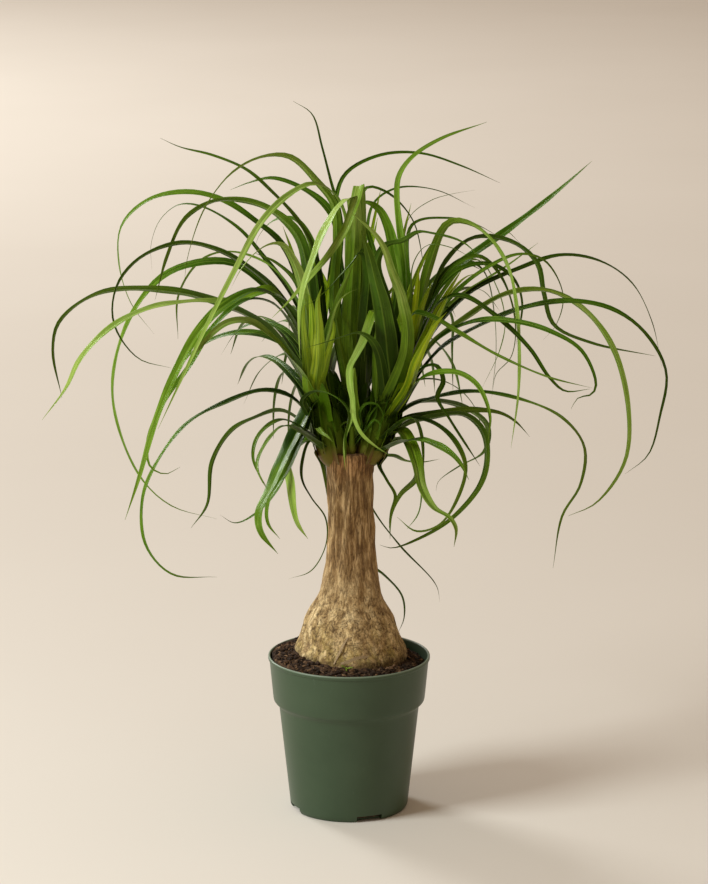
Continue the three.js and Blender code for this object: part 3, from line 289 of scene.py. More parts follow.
BACK_LEAVES = [
    ["top arch right", 8, 100, 20, [[350, 330], [338, 240], [337, 193], [347, 172], [380, 155],
        [420, 153], [462, 166], [500, 183]]],
    ["hanging thread", 8, 60, 0, [[356, 330], [360, 240], [366, 188], [388, 193], [412, 219],
        [421, 250], [425, 292]]],
    ["crossing thread", 7, 130, -55, [[360, 330], [366, 240], [374, 203], [397, 188], [436, 190],
        [475, 208]]],
    ["behind the trunk", 9, 60, 20, [[360, 410], [366, 450], [364, 490], [374, 512], [400, 546],
        [436, 585], [440, 602]]],
    ["lowest thread", 9, 60, 0, [[352, 412], [350, 460], [352, 520], [362, 558], [384, 575], [402, 596],
        [404, 618], [398, 633]]],
    ["dark middle two", 12, 0, -55, [[362, 404], [366, 362], [368, 322], [366, 286], [361, 240]]],
    ["dark middle three", 11, 20, -90, [[350, 404], [344, 368], [341, 336], [343, 306], [350, 272]]],
    ["bright high fold", 18, -170, 0, [[350, 340], [353, 270], [355, 215], [351, 198], [338, 208],
        [329, 222], [321, 237], [315, 253], [309, 270], [304, 285], [300, 305], [299, 330],
        [300, 358]]],
    ["pale high fold", 17, -190, 0, [[357, 330], [359, 250], [360, 200], [359, 186], [357, 196],
        [352, 212], [346, 228], [336, 245], [324, 261], [308, 279], [290, 300], [272, 318]]],
    ["dark folded leaf", 18, -80, 0, [[362, 380], [366, 320], [369, 275], [366, 255], [361, 251],
        [353, 262], [341, 275], [326, 291], [312, 302], [300, 308]]],
    ["light over arch", 12, -120, -60, [[334, 300], [337, 240], [334, 205], [318, 183], [290, 157],
        [262, 157], [232, 173], [205, 208], [188, 256], [184, 285]]],
    ["pale fall", 12, -190, 85, [[345, 290], [344, 215], [330, 190], [312, 184], [290, 194], [262, 221],
        [238, 264], [207, 325], [182, 378], [158, 429]]],
    ["top fold", 15, 170, 0, [[333, 290], [338, 230], [325, 205], [300, 187], [272, 178], [248, 183],
        [230, 190]]],
    ["tall thread", 8, 70, 10, [[338, 300], [341, 220], [331, 182], [322, 147], [312, 114],
        [293, 101]]],
]
TUFT_LEAVES = [
    ["curl one", 5, -10, 90, [[362, 428], [360, 412], [366, 404], [376, 404], [382, 412], [384, 426]]],
    ["curl two", 5, 10, 90, [[358, 428], [351, 410], [343, 402], [335, 406], [333, 416]]],
    ["curl three", 4, -16, 90, [[366, 430], [374, 420], [380, 424], [377, 432], [371, 430]]],
    ["curl four", 4, 20, 60, [[360, 424], [366, 400], [374, 396], [378, 404]]],
    ["curl five", 4, -14, -90, [[356, 430], [348, 422], [341, 426], [343, 434]]],
    ["curl six", 5, 30, 0, [[360, 420], [354, 400], [344, 388], [334, 390], [330, 400]]],
    ["curl seven", 4, 0, 70, [[364, 428], [372, 412], [382, 403], [390, 404]]],
    ["pale fork leaf", 9, -85, 0, [[356, 424], [354, 395], [353, 375], [352, 368], [351, 378],
        [352, 400], [351, 420], [346, 434], [344, 450], [345, 470]]],
]

# Leaves that grow by rule: lengths, first slopes, how far they arch over, widths, and how high up
# the shoot they spring, each from the first leaf of its kind to the last or between two bounds
HEART = {
    "long": [130, 230],
    "rise": [88, 78],
    "droop": [18, 50],
    "wide": [9, 13],
    "springs": [1, 0.85],
    "sway": 4,
    "twist": 70,
}
REAR = {
    "long": [220, 340],
    "rise": [72, 38],
    "droop": [95, 145],
    "wide": [10, 14],
    "springs": [0.85, 0.25],
    "sway": 24,
    "twist": 80,
}
ARCH_SPANS = 6
ARCH_POWER = 1.35

# Each head: its shoot, the leaves read from the picture, and what grows by rule where the picture
# doesn't show: kind, count, the way it faces and its spread to each side in degrees
TALL_SHOOT = [[9, 357], [14, 364], [16, 376], [16.5, 392], [16, 408], [9, 422]]
HEADS = {
    "front_tuft": {
        "foot": (3, -10, 380),
        "lean": (0, 0),
        "shoot": [[3.2, TRUNK_TOP - 4], [3.8, 378], [3, 388], [2, 398]],
        "root_zone": 5,
        "read": TUFT_LEAVES,
        "grows": [],
        "seed": 5,
    },
    "back_head": {
        "foot": (2, 27, 372),
        "lean": (0.02, 0.2),
        "shoot": [[7, 359], [10.5, 366], [11.5, 378], [12, 392], [12, 408], [7, 420]],
        "root_zone": 20,
        "read": BACK_LEAVES,
        "grows": [[HEART, 4, 90, 90], [REAR, 9, 90, 50]],
        "seed": 41,
    },
    "left_head": {
        "foot": (-17, 1, 372),
        "lean": (-0.2, -0.02),
        "shoot": TALL_SHOOT,
        "root_zone": 24,
        "read": LEFT_LEAVES,
        "grows": [[HEART, 3, 90, 60], [REAR, 11, 92, 36]],
        "seed": 11,
    },
    "right_head": {
        "foot": (22, 1, 372),
        "lean": (0.34, -0.02),
        "shoot": TALL_SHOOT,
        "root_zone": 24,
        "read": RIGHT_LEAVES,
        "grows": [[HEART, 3, 90, 60], [REAR, 8, 93, 30]],
        "seed": 23,
    },
}


# Meshes


def mesh_piece(name, points, faces, material, smooth=True, values=None):
    """A mesh object from points in millimetres, riding on the body, with its per-point values."""
    mesh = bpy.data.meshes.new(name)
    mesh.from_pydata((np.asarray(points, float) * MM).tolist(), [], faces)
    mesh.validate()
    for key, numbers in (values or {}).items():
        layer = mesh.attributes.new(key, "FLOAT", "POINT")
        layer.data.foreach_set("value", np.asarray(numbers, np.float32))
    mesh.polygons.foreach_set("use_smooth", [smooth] * len(mesh.polygons))
    mesh.materials.append(material)
    mesh.update()
    piece = bpy.data.objects.new(name, mesh)
    bpy.context.scene.collection.objects.link(piece)
    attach(piece, "root")
    return piece


def ring_faces(count, sides):
    """Quads between rings of points, each closed into a loop."""
    faces = []
    for i in range(count - 1):
        for j in range(sides):
            a = i * sides + j
            b = i * sides + (j + 1) % sides
            faces.append((a, b, b + sides, a + sides))
    return faces


def lathe_rows(profile, sides):
    """Rings of points about Z for a [radius, height] profile, as an array of rings."""
    turns = np.arange(sides) * TAU / sides
    profile = np.asarray(profile, float)
    rings = np.empty((len(profile), sides, 3))
    rings[:, :, 0] = profile[:, :1] * np.cos(turns)
    rings[:, :, 1] = profile[:, :1] * np.sin(turns)
    rings[:, :, 2] = profile[:, 1:]
    return rings


def closed_lathe(rings):
    """Points and faces of rings stacked into a closed solid with a flat fan at each end."""
    count, sides = rings.shape[:2]
    points = rings.reshape(-1, 3).tolist()
    faces = ring_faces(count, sides)
    points += [rings[0].mean(0).tolist(), rings[-1].mean(0).tolist()]
    low, high = len(points) - 2, len(points) - 1
    top = (count - 1) * sides
    for j in range(sides):
        k = (j + 1) % sides
        faces.append((low, k, j))
        faces.append((high, top + j, top + k))
    return points, faces


def smooth_profile(rows, steps):
    """A [radius, height] profile with extra rows along a smooth curve through it."""
    rows = [np.array(row, float) for row in rows]
    ends = [2 * rows[0] - rows[1], *rows, 2 * rows[-1] - rows[-2]]
    made = []
    for i in range(1, len(ends) - 2):
        p0, p1, p2, p3 = ends[i - 1 : i + 3]
        for s in range(steps):
            t = s / steps
            made.append(
                0.5 * (2 * p1 + (p2 - p0) * t + (2 * p0 - 5 * p1 + 4 * p2 - p3) * t**2
                       + (3 * p1 - p0 - 3 * p2 + p3) * t**3)
            )
    made.append(rows[-1])
    return np.array(made)


# Noise


def lattice_value(cells, seed):
    """A repeatable number between 0 and 1 for each whole-number cell."""
    cells = cells.astype(np.int64)
    mixed = cells[..., 0] * 73856093 ^ cells[..., 1] * 19349663
    mixed = mixed ^ cells[..., 2] * 83492791 ^ seed * 2654435761
    mixed = (mixed ^ (mixed >> 13)) * 1274126177 & 0xFFFFFFFF
    mixed = (mixed ^ (mixed >> 16)) * 2246822519 & 0xFFFFFFFF
    return ((mixed ^ (mixed >> 15)) & 0xFFFF) / 65535.0


def soft_noise(points, size, seed=0):
    """Smooth noise between -1 and 1 whose lumps are about size millimetres across."""
    place = np.asarray(points, float) / size
    cell = np.floor(place)
    part = place - cell
    part = part * part * (3 - 2 * part)
    total = np.zeros(place.shape[:-1])
    for corner in range(8):
        step = np.array([corner & 1, corner >> 1 & 1, corner >> 2 & 1])
        share = np.prod(np.where(step, part, 1 - part), axis=-1)
        total += share * lattice_value(cell + step, seed)
    return 2 * total - 1


def layered_noise(points, size, octaves, seed=0):
    """Noise of several sizes, each half the last in size and strength."""
    total = 0
    for octave in range(octaves):
        total = total + soft_noise(points, size / 2**octave, seed + octave) / 2**octave
    return total


def wandering_lines(points, size, seed, width):
    """Thin wandering lines, 1 on a line and 0 off it."""
    return 1 - smoothstep(np.abs(layered_noise(points, size, 3, seed)), 0, width)


def draws_from(seed):
    """The part's own repeatable draws between 0 and 1."""
    state = [seed]

    def draw():
        state[0] = (state[0] * 1664525 + 1013904223) % 4294967296
        return state[0] / 4294967296

    return draw


def lerp(low, high, share):
    return low + (high - low) * share


def smoothstep(value, low, high):
    share = np.clip((value - low) / (high - low), 0, 1)
    return share * share * (3 - 2 * share)


# Materials


class Paint:
    """Builds one material's nodes round a single Principled shader."""

    def __init__(self, name, roughness=0.5, specular=0.5, **settings):
        self.material = bpy.data.materials.new(name)
        self.material.use_nodes = True
        self.tree = self.material.node_tree
        self.shader = self.tree.nodes["Principled BSDF"]
        self.shader.inputs["Roughness"].default_value = roughness
        self.shader.inputs["Specular IOR Level"].default_value = specular
        for key, value in settings.items():
            self.shader.inputs[key.replace("_", " ")].default_value = value

    def node(self, kind, values=None, **settings):
        made = self.tree.nodes.new(kind)
        for key, value in settings.items():
            setattr(made, key, value)
        for key, value in (values or {}).items():
            if isinstance(value, bpy.types.NodeSocket):
                self.tree.links.new(value, made.inputs[key])
            else:
                made.inputs[key].default_value = value
        return made

    def value(self, key):
        return self.node("ShaderNodeAttribute", attribute_name=key).outputs["Fac"]

    def place(self, scale=(1, 1, 1)):
        spot = self.node("ShaderNodeTexCoord").outputs["Object"]
        return self.node("ShaderNodeMapping", {"Vector": spot, "Scale": scale}).outputs["Vector"]

    def height(self):
        spot = self.node("ShaderNodeTexCoord").outputs["Object"]
        return self.node("ShaderNodeSeparateXYZ", {"Vector": spot}).outputs["Z"]

    def noise(self, vector, scale, detail=3.0, roughness=0.5):
        values = {"Vector": vector, "Scale": scale, "Detail": detail, "Roughness": roughness}
        return self.node("ShaderNodeTexNoise", values).outputs["Fac"]

    def math(self, operation, first, second=0.0, clamp=False):
        values = {0: first, 1: second}
        return self.node("ShaderNodeMath", values, operation=operation, use_clamp=clamp).outputs[0]

    def times(self, first, second):
        return self.math("MULTIPLY", first, second)

    def plus(self, first, second, clamp=False):
        return self.math("ADD", first, second, clamp)

    def weigh(self, *pairs):
        """The sum of values, each times its weight."""
        parts = [self.times(value, weight) for value, weight in pairs]
        total = parts[0]
        for part in parts[1:]:
            total = self.plus(total, part)
        return total

    def minus(self, first, second):
        return self.math("SUBTRACT", first, second)

    def strands(self, across_scale, run_scale, part, detail, roughness):
        """Noise drawn out along a blade."""
        across = self.times(self.value("across"), across_scale)
        run = self.times(self.value("run"), run_scale)
        spot = self.node("ShaderNodeCombineXYZ", {"X": across, "Y": run, "Z": part})
        return self.noise(spot.outputs["Vector"], 1, detail, roughness)

    def remap(self, value, low, high, to_low=0.0, to_high=1.0):
        values = {"Value": value, "From Min": low, "From Max": high, "To Min": to_low, "To Max": to_high}
        return self.node("ShaderNodeMapRange", values).outputs["Result"]

    def ramp(self, value, stops):
        made = self.node("ShaderNodeValToRGB", {"Fac": value})
        elements = made.color_ramp.elements
        for i, (at, color) in enumerate(stops):
            element = elements[i] if i < 2 else elements.new(at)
            element.position = at
            element.color = (*color, 1)
        return made.outputs["Color"]

    def mix(self, share, first, second, blend="MIX"):
        made = self.node("ShaderNodeMix", data_type="RGBA", blend_type=blend)
        for key, value in ((0, share), (6, first), (7, second)):
            if isinstance(value, bpy.types.NodeSocket):
                self.tree.links.new(value, made.inputs[key])
            elif key:
                made.inputs[key].default_value = (*value, 1)
            else:
                made.inputs[key].default_value = value
        return made.outputs[2]

    def tint(self, color, mask, strength, other):
        """Another colour laid over the first where the mask is, so strongly."""
        return self.mix(self.times(mask, strength), color, other)

    def finish(self, color, roughness=None, height=None, strength=0.3, distance=0.001):
        self.tree.links.new(color, self.shader.inputs["Base Color"])
        if roughness is not None:
            self.tree.links.new(roughness, self.shader.inputs["Roughness"])
        if height is not None:
            values = {"Height": height, "Strength": strength, "Distance": distance}
            bump = self.node("ShaderNodeBump", values)
            self.tree.links.new(bump.outputs["Normal"], self.shader.inputs["Normal"])
        return self.material


def pot_paint():
    """Dark green moulded plastic: faint cloudiness, fine grain, scuffs, and a pale band on the lip's top
    that is partly dust and partly a painted highlight.
    """
    paint = Paint("pot_plastic", roughness=0.42, specular=0.45)
    spot = paint.place()
    cloud = paint.noise(spot, 14, 4, 0.6)
    green = paint.ramp(cloud, [(0.3, (0.031, 0.061, 0.026)), (0.7, (0.043, 0.077, 0.035))])
    scuffs = paint.noise(paint.place((40, 40, 9)), 9, 5, 0.7)
    worn = paint.remap(scuffs, 0.64, 0.78)
    green = paint.tint(green, worn, 0.30, (0.15, 0.21, 0.15))
    # A pale band on the lip's top: partly dust, partly a painted highlight.
    lip = paint.remap(paint.height(), 0.1583, 0.1600)
    green = paint.tint(green, lip, 0.75, (0.26, 0.32, 0.23))
    grain = paint.noise(spot, 900, 2, 0.5)
    rough = paint.remap(paint.plus(cloud, paint.times(worn, 0.5)), 0.2, 1.2, 0.36, 0.56)
    return paint.finish(green, rough, grain, 0.06, 0.0003)


def soil_paint():
    """Dark, damp potting soil with tan and reddish flecks of bark."""
    paint = Paint("soil", roughness=0.95, specular=0.25)
    spot = paint.place()
    tone = paint.value("tone")
    coarse = paint.noise(spot, 260, 5, 0.7)
    mixed = paint.weigh((coarse, 0.55), (tone, 0.45))
    brown = paint.ramp(
        mixed,
        [(0.22, (0.012, 0.007, 0.004)), (0.48, (0.052, 0.029, 0.016)), (0.64, (0.140, 0.076, 0.036)),
         (0.80, (0.360, 0.215, 0.105))],
    )
    fine = paint.noise(spot, 1500, 4, 0.7)
    return paint.finish(brown, None, fine, 0.8, 0.001)


def bark_paint():
    """Tan bark with a net of dark wrinkles, browner and streaked up the neck, fibrous at the top, pale
    plates lightened as a painted highlight, the dished cut darkened as painted shade, and darker towards
    the soil line.
    """
    paint = Paint("bark", roughness=0.86, specular=0.28)
    height = paint.height()
    blotch = paint.noise(paint.place((1, 1, 0.6)), 38, 4, 0.6)
    patch = paint.noise(paint.place((1, 1, 0.5)), 110, 4, 0.65)
    streak = paint.noise(paint.place((1, 1, 0.10)), 420, 5, 0.7)
    speck = paint.noise(paint.place((1, 1, 0.8)), 620, 4, 0.7)
    # The plate value lightens the bark's plates towards pale tan as a painted highlight on raised bark.
    relief = paint.value("plate_highlight")
    upper = paint.remap(paint.plus(height, paint.times(blotch, 0.06)), 0.232, 0.300)
    mixed = paint.weigh((streak, 0.35), (speck, 0.35), (relief, 0.30))
    tan = paint.ramp(mixed, [
        (0.32, (0.180, 0.100, 0.036)), (0.49, (0.500, 0.335, 0.145)), (0.66, (0.920, 0.700, 0.370)),
    ])
    mixed = paint.weigh((streak, 0.65), (patch, 0.35))
    brown = paint.ramp(mixed, [
        (0.34, (0.110, 0.052, 0.016)), (0.50, (0.370, 0.225, 0.090)), (0.64, (0.720, 0.500, 0.250)),
    ])
    color = paint.mix(upper, tan, brown)
    low = paint.remap(paint.plus(height, paint.times(blotch, 0.06)), 0.232, 0.185)
    moss = paint.times(low, paint.remap(patch, 0.42, 0.58))
    color = paint.tint(color, moss, 0.55, (0.400, 0.310, 0.045))
    # Darker towards the soil line.
    darker_near_soil = paint.remap(paint.minus(height, paint.times(patch, 0.024)), 0.158, 0.148)
    color = paint.tint(color, darker_near_soil, 0.7, (0.060, 0.034, 0.016))
    top = paint.remap(paint.minus(height, paint.times(blotch, 0.02)), 0.330, 0.356)
    fibres = paint.ramp(streak, [(0.38, (0.090, 0.036, 0.010)), (0.60, (0.480, 0.240, 0.090))])
    color = paint.tint(color, top, 0.75, fibres)
    net = paint.noise(paint.place((1, 1, 0.75)), 210, 6, 0.68)
    net = paint.remap(paint.math("ABSOLUTE", paint.minus(net, 0.5)), 0.030, 0.004)
    grooves = paint.remap(paint.math("ABSOLUTE", paint.minus(streak, 0.47)), 0.030, 0.004)
    net = paint.times(net, paint.minus(1.0, upper))
    lines = paint.plus(net, paint.times(grooves, paint.times(upper, 0.7)))
    # The crack value darkens the bark's fissures, and the dished cut on top as painted shade.
    cracks_and_dish_shade = paint.times(paint.value("crack"), 0.62)
    dark = paint.plus(paint.times(lines, 0.55), cracks_and_dish_shade, clamp=True)
    color = paint.mix(dark, color, (0.070, 0.038, 0.016))
    grain = paint.minus(paint.plus(streak, speck), paint.times(lines, 0.5))
    return paint.finish(color, None, grain, 0.6, 0.0012)


def leaf_paint():
    """Strap leaf: parallel streaks and veins, a pale midrib and margin, a yellow-green young leaf
    brightened as a painted glow, painted shade towards the root and a painted sheen on the palest
    greens.
    """
    paint = Paint("leaf", roughness=0.34, specular=0.24, Specular_Tint=(0.80, 1.0, 0.16, 1))
    gone = paint.value("gone")
    tone = paint.value("tone")
    young_glow = paint.value("young_glow")
    off = paint.math("ABSOLUTE", paint.value("across"))
    part = paint.times(tone, 23)
    bands = paint.strands(2.2, 0.9, part, 2, 0.5)
    lines = paint.strands(6, 1.4, part, 3, 0.75)
    veins = paint.strands(22, 2, part, 2, 0.6)
    patches = paint.strands(1, 4, part, 3, 0.6)
    # Lighter and darker stretches along each leaf: partly its own mottling, partly painted light and
    # shade for the blade turning to and from the light.
    shade = paint.weigh((tone, 0.62), (patches, 0.40), (bands, 0.40))
    # Painted shade: each leaf but a young one is darker towards its root, inside the head.
    foot = paint.times(paint.remap(gone, 0.52, 0.32), paint.remap(young_glow, 0.5, 0.0))
    shade = paint.minus(shade, paint.times(foot, 0.40))
    # The palest stop, whitish green, is a painted sheen.
    green = paint.ramp(shade, [
        (0.25, (0.010, 0.038, 0.001)), (0.50, (0.056, 0.142, 0.003)),
        (0.75, (0.190, 0.330, 0.022)), (0.98, (0.420, 0.550, 0.150)),
    ])
    # A young leaf's yellow-green, raised far above its own colour as a painted glow of light through the
    # blade.
    lit = paint.ramp(bands, [(0.36, (0.240, 0.420, 0.002)), (0.60, (0.700, 0.850, 0.004))])
    color = paint.mix(young_glow, green, lit)
    tip = paint.remap(gone, 0.84, 1.0)
    color = paint.tint(color, tip, 0.5, (0.120, 0.140, 0.010))
    streaks = paint.ramp(lines, [(0.40, (0.42, 0.50, 0.40)), (0.58, (1.0, 1.0, 1.0))])
    color = paint.mix(0.85, color, streaks, "MULTIPLY")
    hairs = paint.ramp(veins, [(0.40, (0.62, 0.68, 0.60)), (0.56, (1.0, 1.0, 1.0))])
    color = paint.mix(0.8, color, hairs, "MULTIPLY")
    rib = paint.remap(off, 0.11, 0.02)
    color = paint.tint(color, rib, 0.30, (0.300, 0.430, 0.060))
    rim = paint.remap(off, 0.86, 0.98)
    color = paint.tint(color, rim, 0.25, (0.280, 0.400, 0.060))
    color = paint.tint(color, paint.value("beneath"), 0.15, (0.150, 0.250, 0.040))
    rough = paint.remap(patches, 0.35, 0.65, 0.26, 0.46)
    return paint.finish(color, rough, lines, 0.5, 0.0008)


def sheath_paint():
    """The clasping leaf bases round a shoot: green, olive lower down and brown at the trunk."""
    paint = Paint("leaf_base", roughness=0.5, specular=0.22, Specular_Tint=(0.80, 1.0, 0.2, 1))
    tone = paint.value("tone")
    gone = paint.value("gone")
    lines = paint.strands(12, 9, tone, 3, 0.6)
    green = paint.ramp(tone, [(0.1, (0.020, 0.055, 0.001)), (0.9, (0.085, 0.170, 0.003))])
    green = paint.tint(green, lines, 0.5, (0.040, 0.095, 0.004))
    height = paint.plus(paint.height(), paint.times(lines, 0.010))
    olive = paint.remap(height, 0.412, 0.388)
    color = paint.tint(green, olive, 0.5, (0.110, 0.130, 0.010))
    low = paint.remap(height, 0.389, 0.374)
    color = paint.mix(low, color, (0.165, 0.085, 0.026))
    rim = paint.remap(paint.math("ABSOLUTE", paint.value("across")), 0.82, 0.98)
    color = paint.tint(color, rim, 0.3, (0.140, 0.220, 0.020))
    upper = paint.remap(gone, 0.45, 1.0)
    color = paint.tint(color, upper, 0.5, (0.030, 0.090, 0.002))
    return paint.finish(color, None, lines, 0.4, 0.0008)


def dry_paint():
    """Dead leaf: straw, streaked along its length."""
    paint = Paint("dry_leaf", roughness=0.8, specular=0.25)
    streak = paint.noise(paint.place((1, 1, 1)), 700, 4, 0.7)
    straw = paint.ramp(streak, [(0.3, (0.28, 0.18, 0.085)), (0.7, (0.60, 0.46, 0.27))])
    return paint.finish(straw, None, streak, 0.4, 0.0005)


def sprout_paint():
    """Seedling green, lighter along its veins."""
    paint = Paint("sprout", roughness=0.45, specular=0.4)
    speck = paint.noise(paint.place(), 500, 4, 0.6)
    green = paint.ramp(speck, [(0.3, (0.15, 0.26, 0.025)), (0.7, (0.33, 0.46, 0.06))])
    return paint.finish(green, None, speck, 0.3, 0.0004)


def floor_paint():
    """A plain pale studio floor with the faintest mottling."""
    paint = Paint("floor", roughness=0.75, specular=0.2)
    cloud = paint.noise(paint.place(), 1.4, 3, 0.5)
    cream = paint.ramp(cloud, [(0.3, (0.775, 0.715, 0.625)), (0.7, (0.795, 0.735, 0.645))])
    return paint.finish(cream)


LEAF = leaf_paint()
SHEATH = sheath_paint()


# Pot


def make_pot():
    """The nursery pot: collar with a rolled lip, step, tapered body, foot bevel and drain notches."""
    outside = [
        [FOOT_RADIUS - 6, 0.6], [FOOT_RADIUS - 5, 0], [FOOT_RADIUS - 0.6, 0], [FOOT_RADIUS, 0.25],
        [BODY_LOW_RADIUS - 0.7, 2.4], [BODY_LOW_RADIUS - 0.2, 3.6], [BODY_LOW_RADIUS, 6],
    ]
    for share in np.linspace(0.1, 0.96, 10):
        outside.append([lerp(BODY_LOW_RADIUS, BODY_TOP_RADIUS, share), lerp(6, BODY_TOP, share)])
    outside += [
        [BODY_TOP_RADIUS + 0.1, BODY_TOP - 0.5], [BODY_TOP_RADIUS + 0.7, BODY_TOP + 1],
        [COLLAR_RADIUS - 1.4, COLLAR_LOW - 2.6], [COLLAR_RADIUS - 0.4, COLLAR_LOW - 1.2],
        [COLLAR_RADIUS, COLLAR_LOW + 0.6],
    ]
    for share in np.linspace(0.15, 1, 7):
        radius = lerp(COLLAR_RADIUS, RIM_RADIUS - 1.3, share)
        outside.append([radius, lerp(COLLAR_LOW, POT_HEIGHT - 4.6, share)])
    lip = [
        [RIM_RADIUS - 0.9, POT_HEIGHT - 4.2], [RIM_RADIUS - 0.25, POT_HEIGHT - 3.7],
        [RIM_RADIUS, POT_HEIGHT - 3], [RIM_RADIUS, POT_HEIGHT - 1.2],
        [RIM_RADIUS - 0.2, POT_HEIGHT - 0.5], [RIM_RADIUS - 0.65, POT_HEIGHT - 0.1],
        [RIM_RADIUS - 1.1, POT_HEIGHT],
        [RIM_RADIUS - 1.7, POT_HEIGHT - 0.1], [RIM_RADIUS - 2.2, POT_HEIGHT - 0.6],
        [RIM_RADIUS - 2.5, POT_HEIGHT - 1.6],
    ]
    inside = [
        [RIM_RADIUS - 3.4, POT_HEIGHT - 8], [COLLAR_RADIUS - WALL, COLLAR_LOW + 2],
        [BODY_TOP_RADIUS - WALL, BODY_TOP + 2], [BODY_LOW_RADIUS - WALL, 6], [FOOT_RADIUS - WALL, FLOOR],
        [20, FLOOR],
    ]
    rings = lathe_rows(outside + lip + inside, POT_SIDES)
    wobble = RIM_WOBBLE * np.sin(2 * np.arctan2(rings[..., 1], rings[..., 0]) + 0.7)
    reach = np.hypot(rings[..., 0], rings[..., 1])
    bend = 1 - wobble.clip(0, 1) * smoothstep(rings[..., 2], 110, POT_HEIGHT) / reach.clip(1)
    rings[..., 0] *= bend
    rings[..., 1] *= bend
    points, faces = closed_lathe(rings)
    pot = mesh_piece("pot_shell", points, faces, pot_paint())
    cutters = []
    for i in range(NOTCH_COUNT):
        turn = NOTCH_TURN - math.pi / 2 + i * TAU / NOTCH_COUNT
        spot = Vector((math.cos(turn), math.sin(turn), 0)) * (FOOT_RADIUS * MM)
        bpy.ops.mesh.primitive_cube_add(size=1, location=spot, rotation=(0, 0, turn))
        box = bpy.context.object
        box.scale = (NOTCH_DEPTH * MM, NOTCH_WIDTH * MM, NOTCH_HEIGHT * 2 * MM)
        cutters.append(box)
        cut = pot.modifiers.new("notch", "BOOLEAN")
        cut.object = box
        cut.operation = "DIFFERENCE"
        cut.solver = "EXACT"
    bake_modifiers(pot)
    for box in cutters:
        bpy.data.objects.remove(box)
    smooth_by_angle(pot, POT_EDGE_ANGLE)
    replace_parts(pot, "pot")


def bake_modifiers(piece):
    """Keeps the shape that a piece's modifiers give it, and drops them."""
    bpy.context.view_layer.update()
    shaped = bpy.data.meshes.new_from_object(piece.evaluated_get(bpy.context.evaluated_depsgraph_get()))
    piece.modifiers.clear()
    piece.data = shaped


def smooth_by_angle(piece, degrees):
    """Marks edges sharper than this as sharp, and shades the rest smooth."""
    mesh = piece.data
    mesh.polygons.foreach_set("use_smooth", [True] * len(mesh.polygons))
    mesh.set_sharp_from_angle(angle=math.radians(degrees))


# Soil


HOLE_LIP = BURIED[-1][0] + GAP + 0.25
SOIL_RIM = lerp(BODY_TOP_RADIUS, RIM_RADIUS, 0.82) - WALL
SOIL_SIDE = [
    [FOOT_RADIUS - WALL - 1.5, FLOOR + GAP],
    [BODY_LOW_RADIUS - WALL - 1, 7],
    [BODY_TOP_RADIUS - WALL - GAP - 0.4, BODY_TOP - 1],
    [BODY_TOP_RADIUS - WALL - GAP, BODY_TOP + 2],
    [COLLAR_RADIUS - WALL - GAP - 0.5, COLLAR_LOW + 3],
]
HOLE = [[HOLE_LIP, 150], [53, 138], [42, 126], [26, 119]]


def soil_share(x, y):
    """How far out a place is, from 0 at the trunk's hole to 1 at the pot's wall."""
    share = (np.hypot(x, y) - HOLE_LIP) / (SOIL_RIM - HOLE_LIP)
    for _ in range(2):
        keep = 1 - np.clip(share, 0, 1)
        away = np.hypot(x - TRUNK_AT[0] * keep, y - TRUNK_AT[1] * keep)
        share = (away - HOLE_LIP) / (SOIL_RIM - HOLE_LIP)
    return share


def soil_height(x, y):
    """The soil's surface: a crown that falls to the wall, tilted, with clods."""
    share = np.clip(soil_share(x, y), 0, 1)
    base = lerp(SOIL_CROWN, SOIL_EDGE, share) + SOIL_TILT * x
    coarse = np.sin(x * 0.31 + 1.3 * np.sin(y * 0.23)) * np.cos(y * 0.29 + np.sin(x * 0.17))
    fine = np.sin(x * 0.93 + 2 * y) * np.sin(y * 0.71 - x * 0.4)
    inside = smoothstep(share, 0, 0.1) * smoothstep(1 - share, 0, 0.06)
    return base + CLOD_HEIGHT * (0.6 * coarse + 0.4 * fine) * inside


def ball_points():
    """The unit icosphere that grains are made from: its points and faces."""
    ball = bmesh.new()
    bmesh.ops.create_icosphere(ball, subdivisions=2, radius=1)
    points = np.array([v.co for v in ball.verts])
    faces = [tuple(v.index for v in f.verts) for f in ball.faces]
    ball.free()
    return points, faces


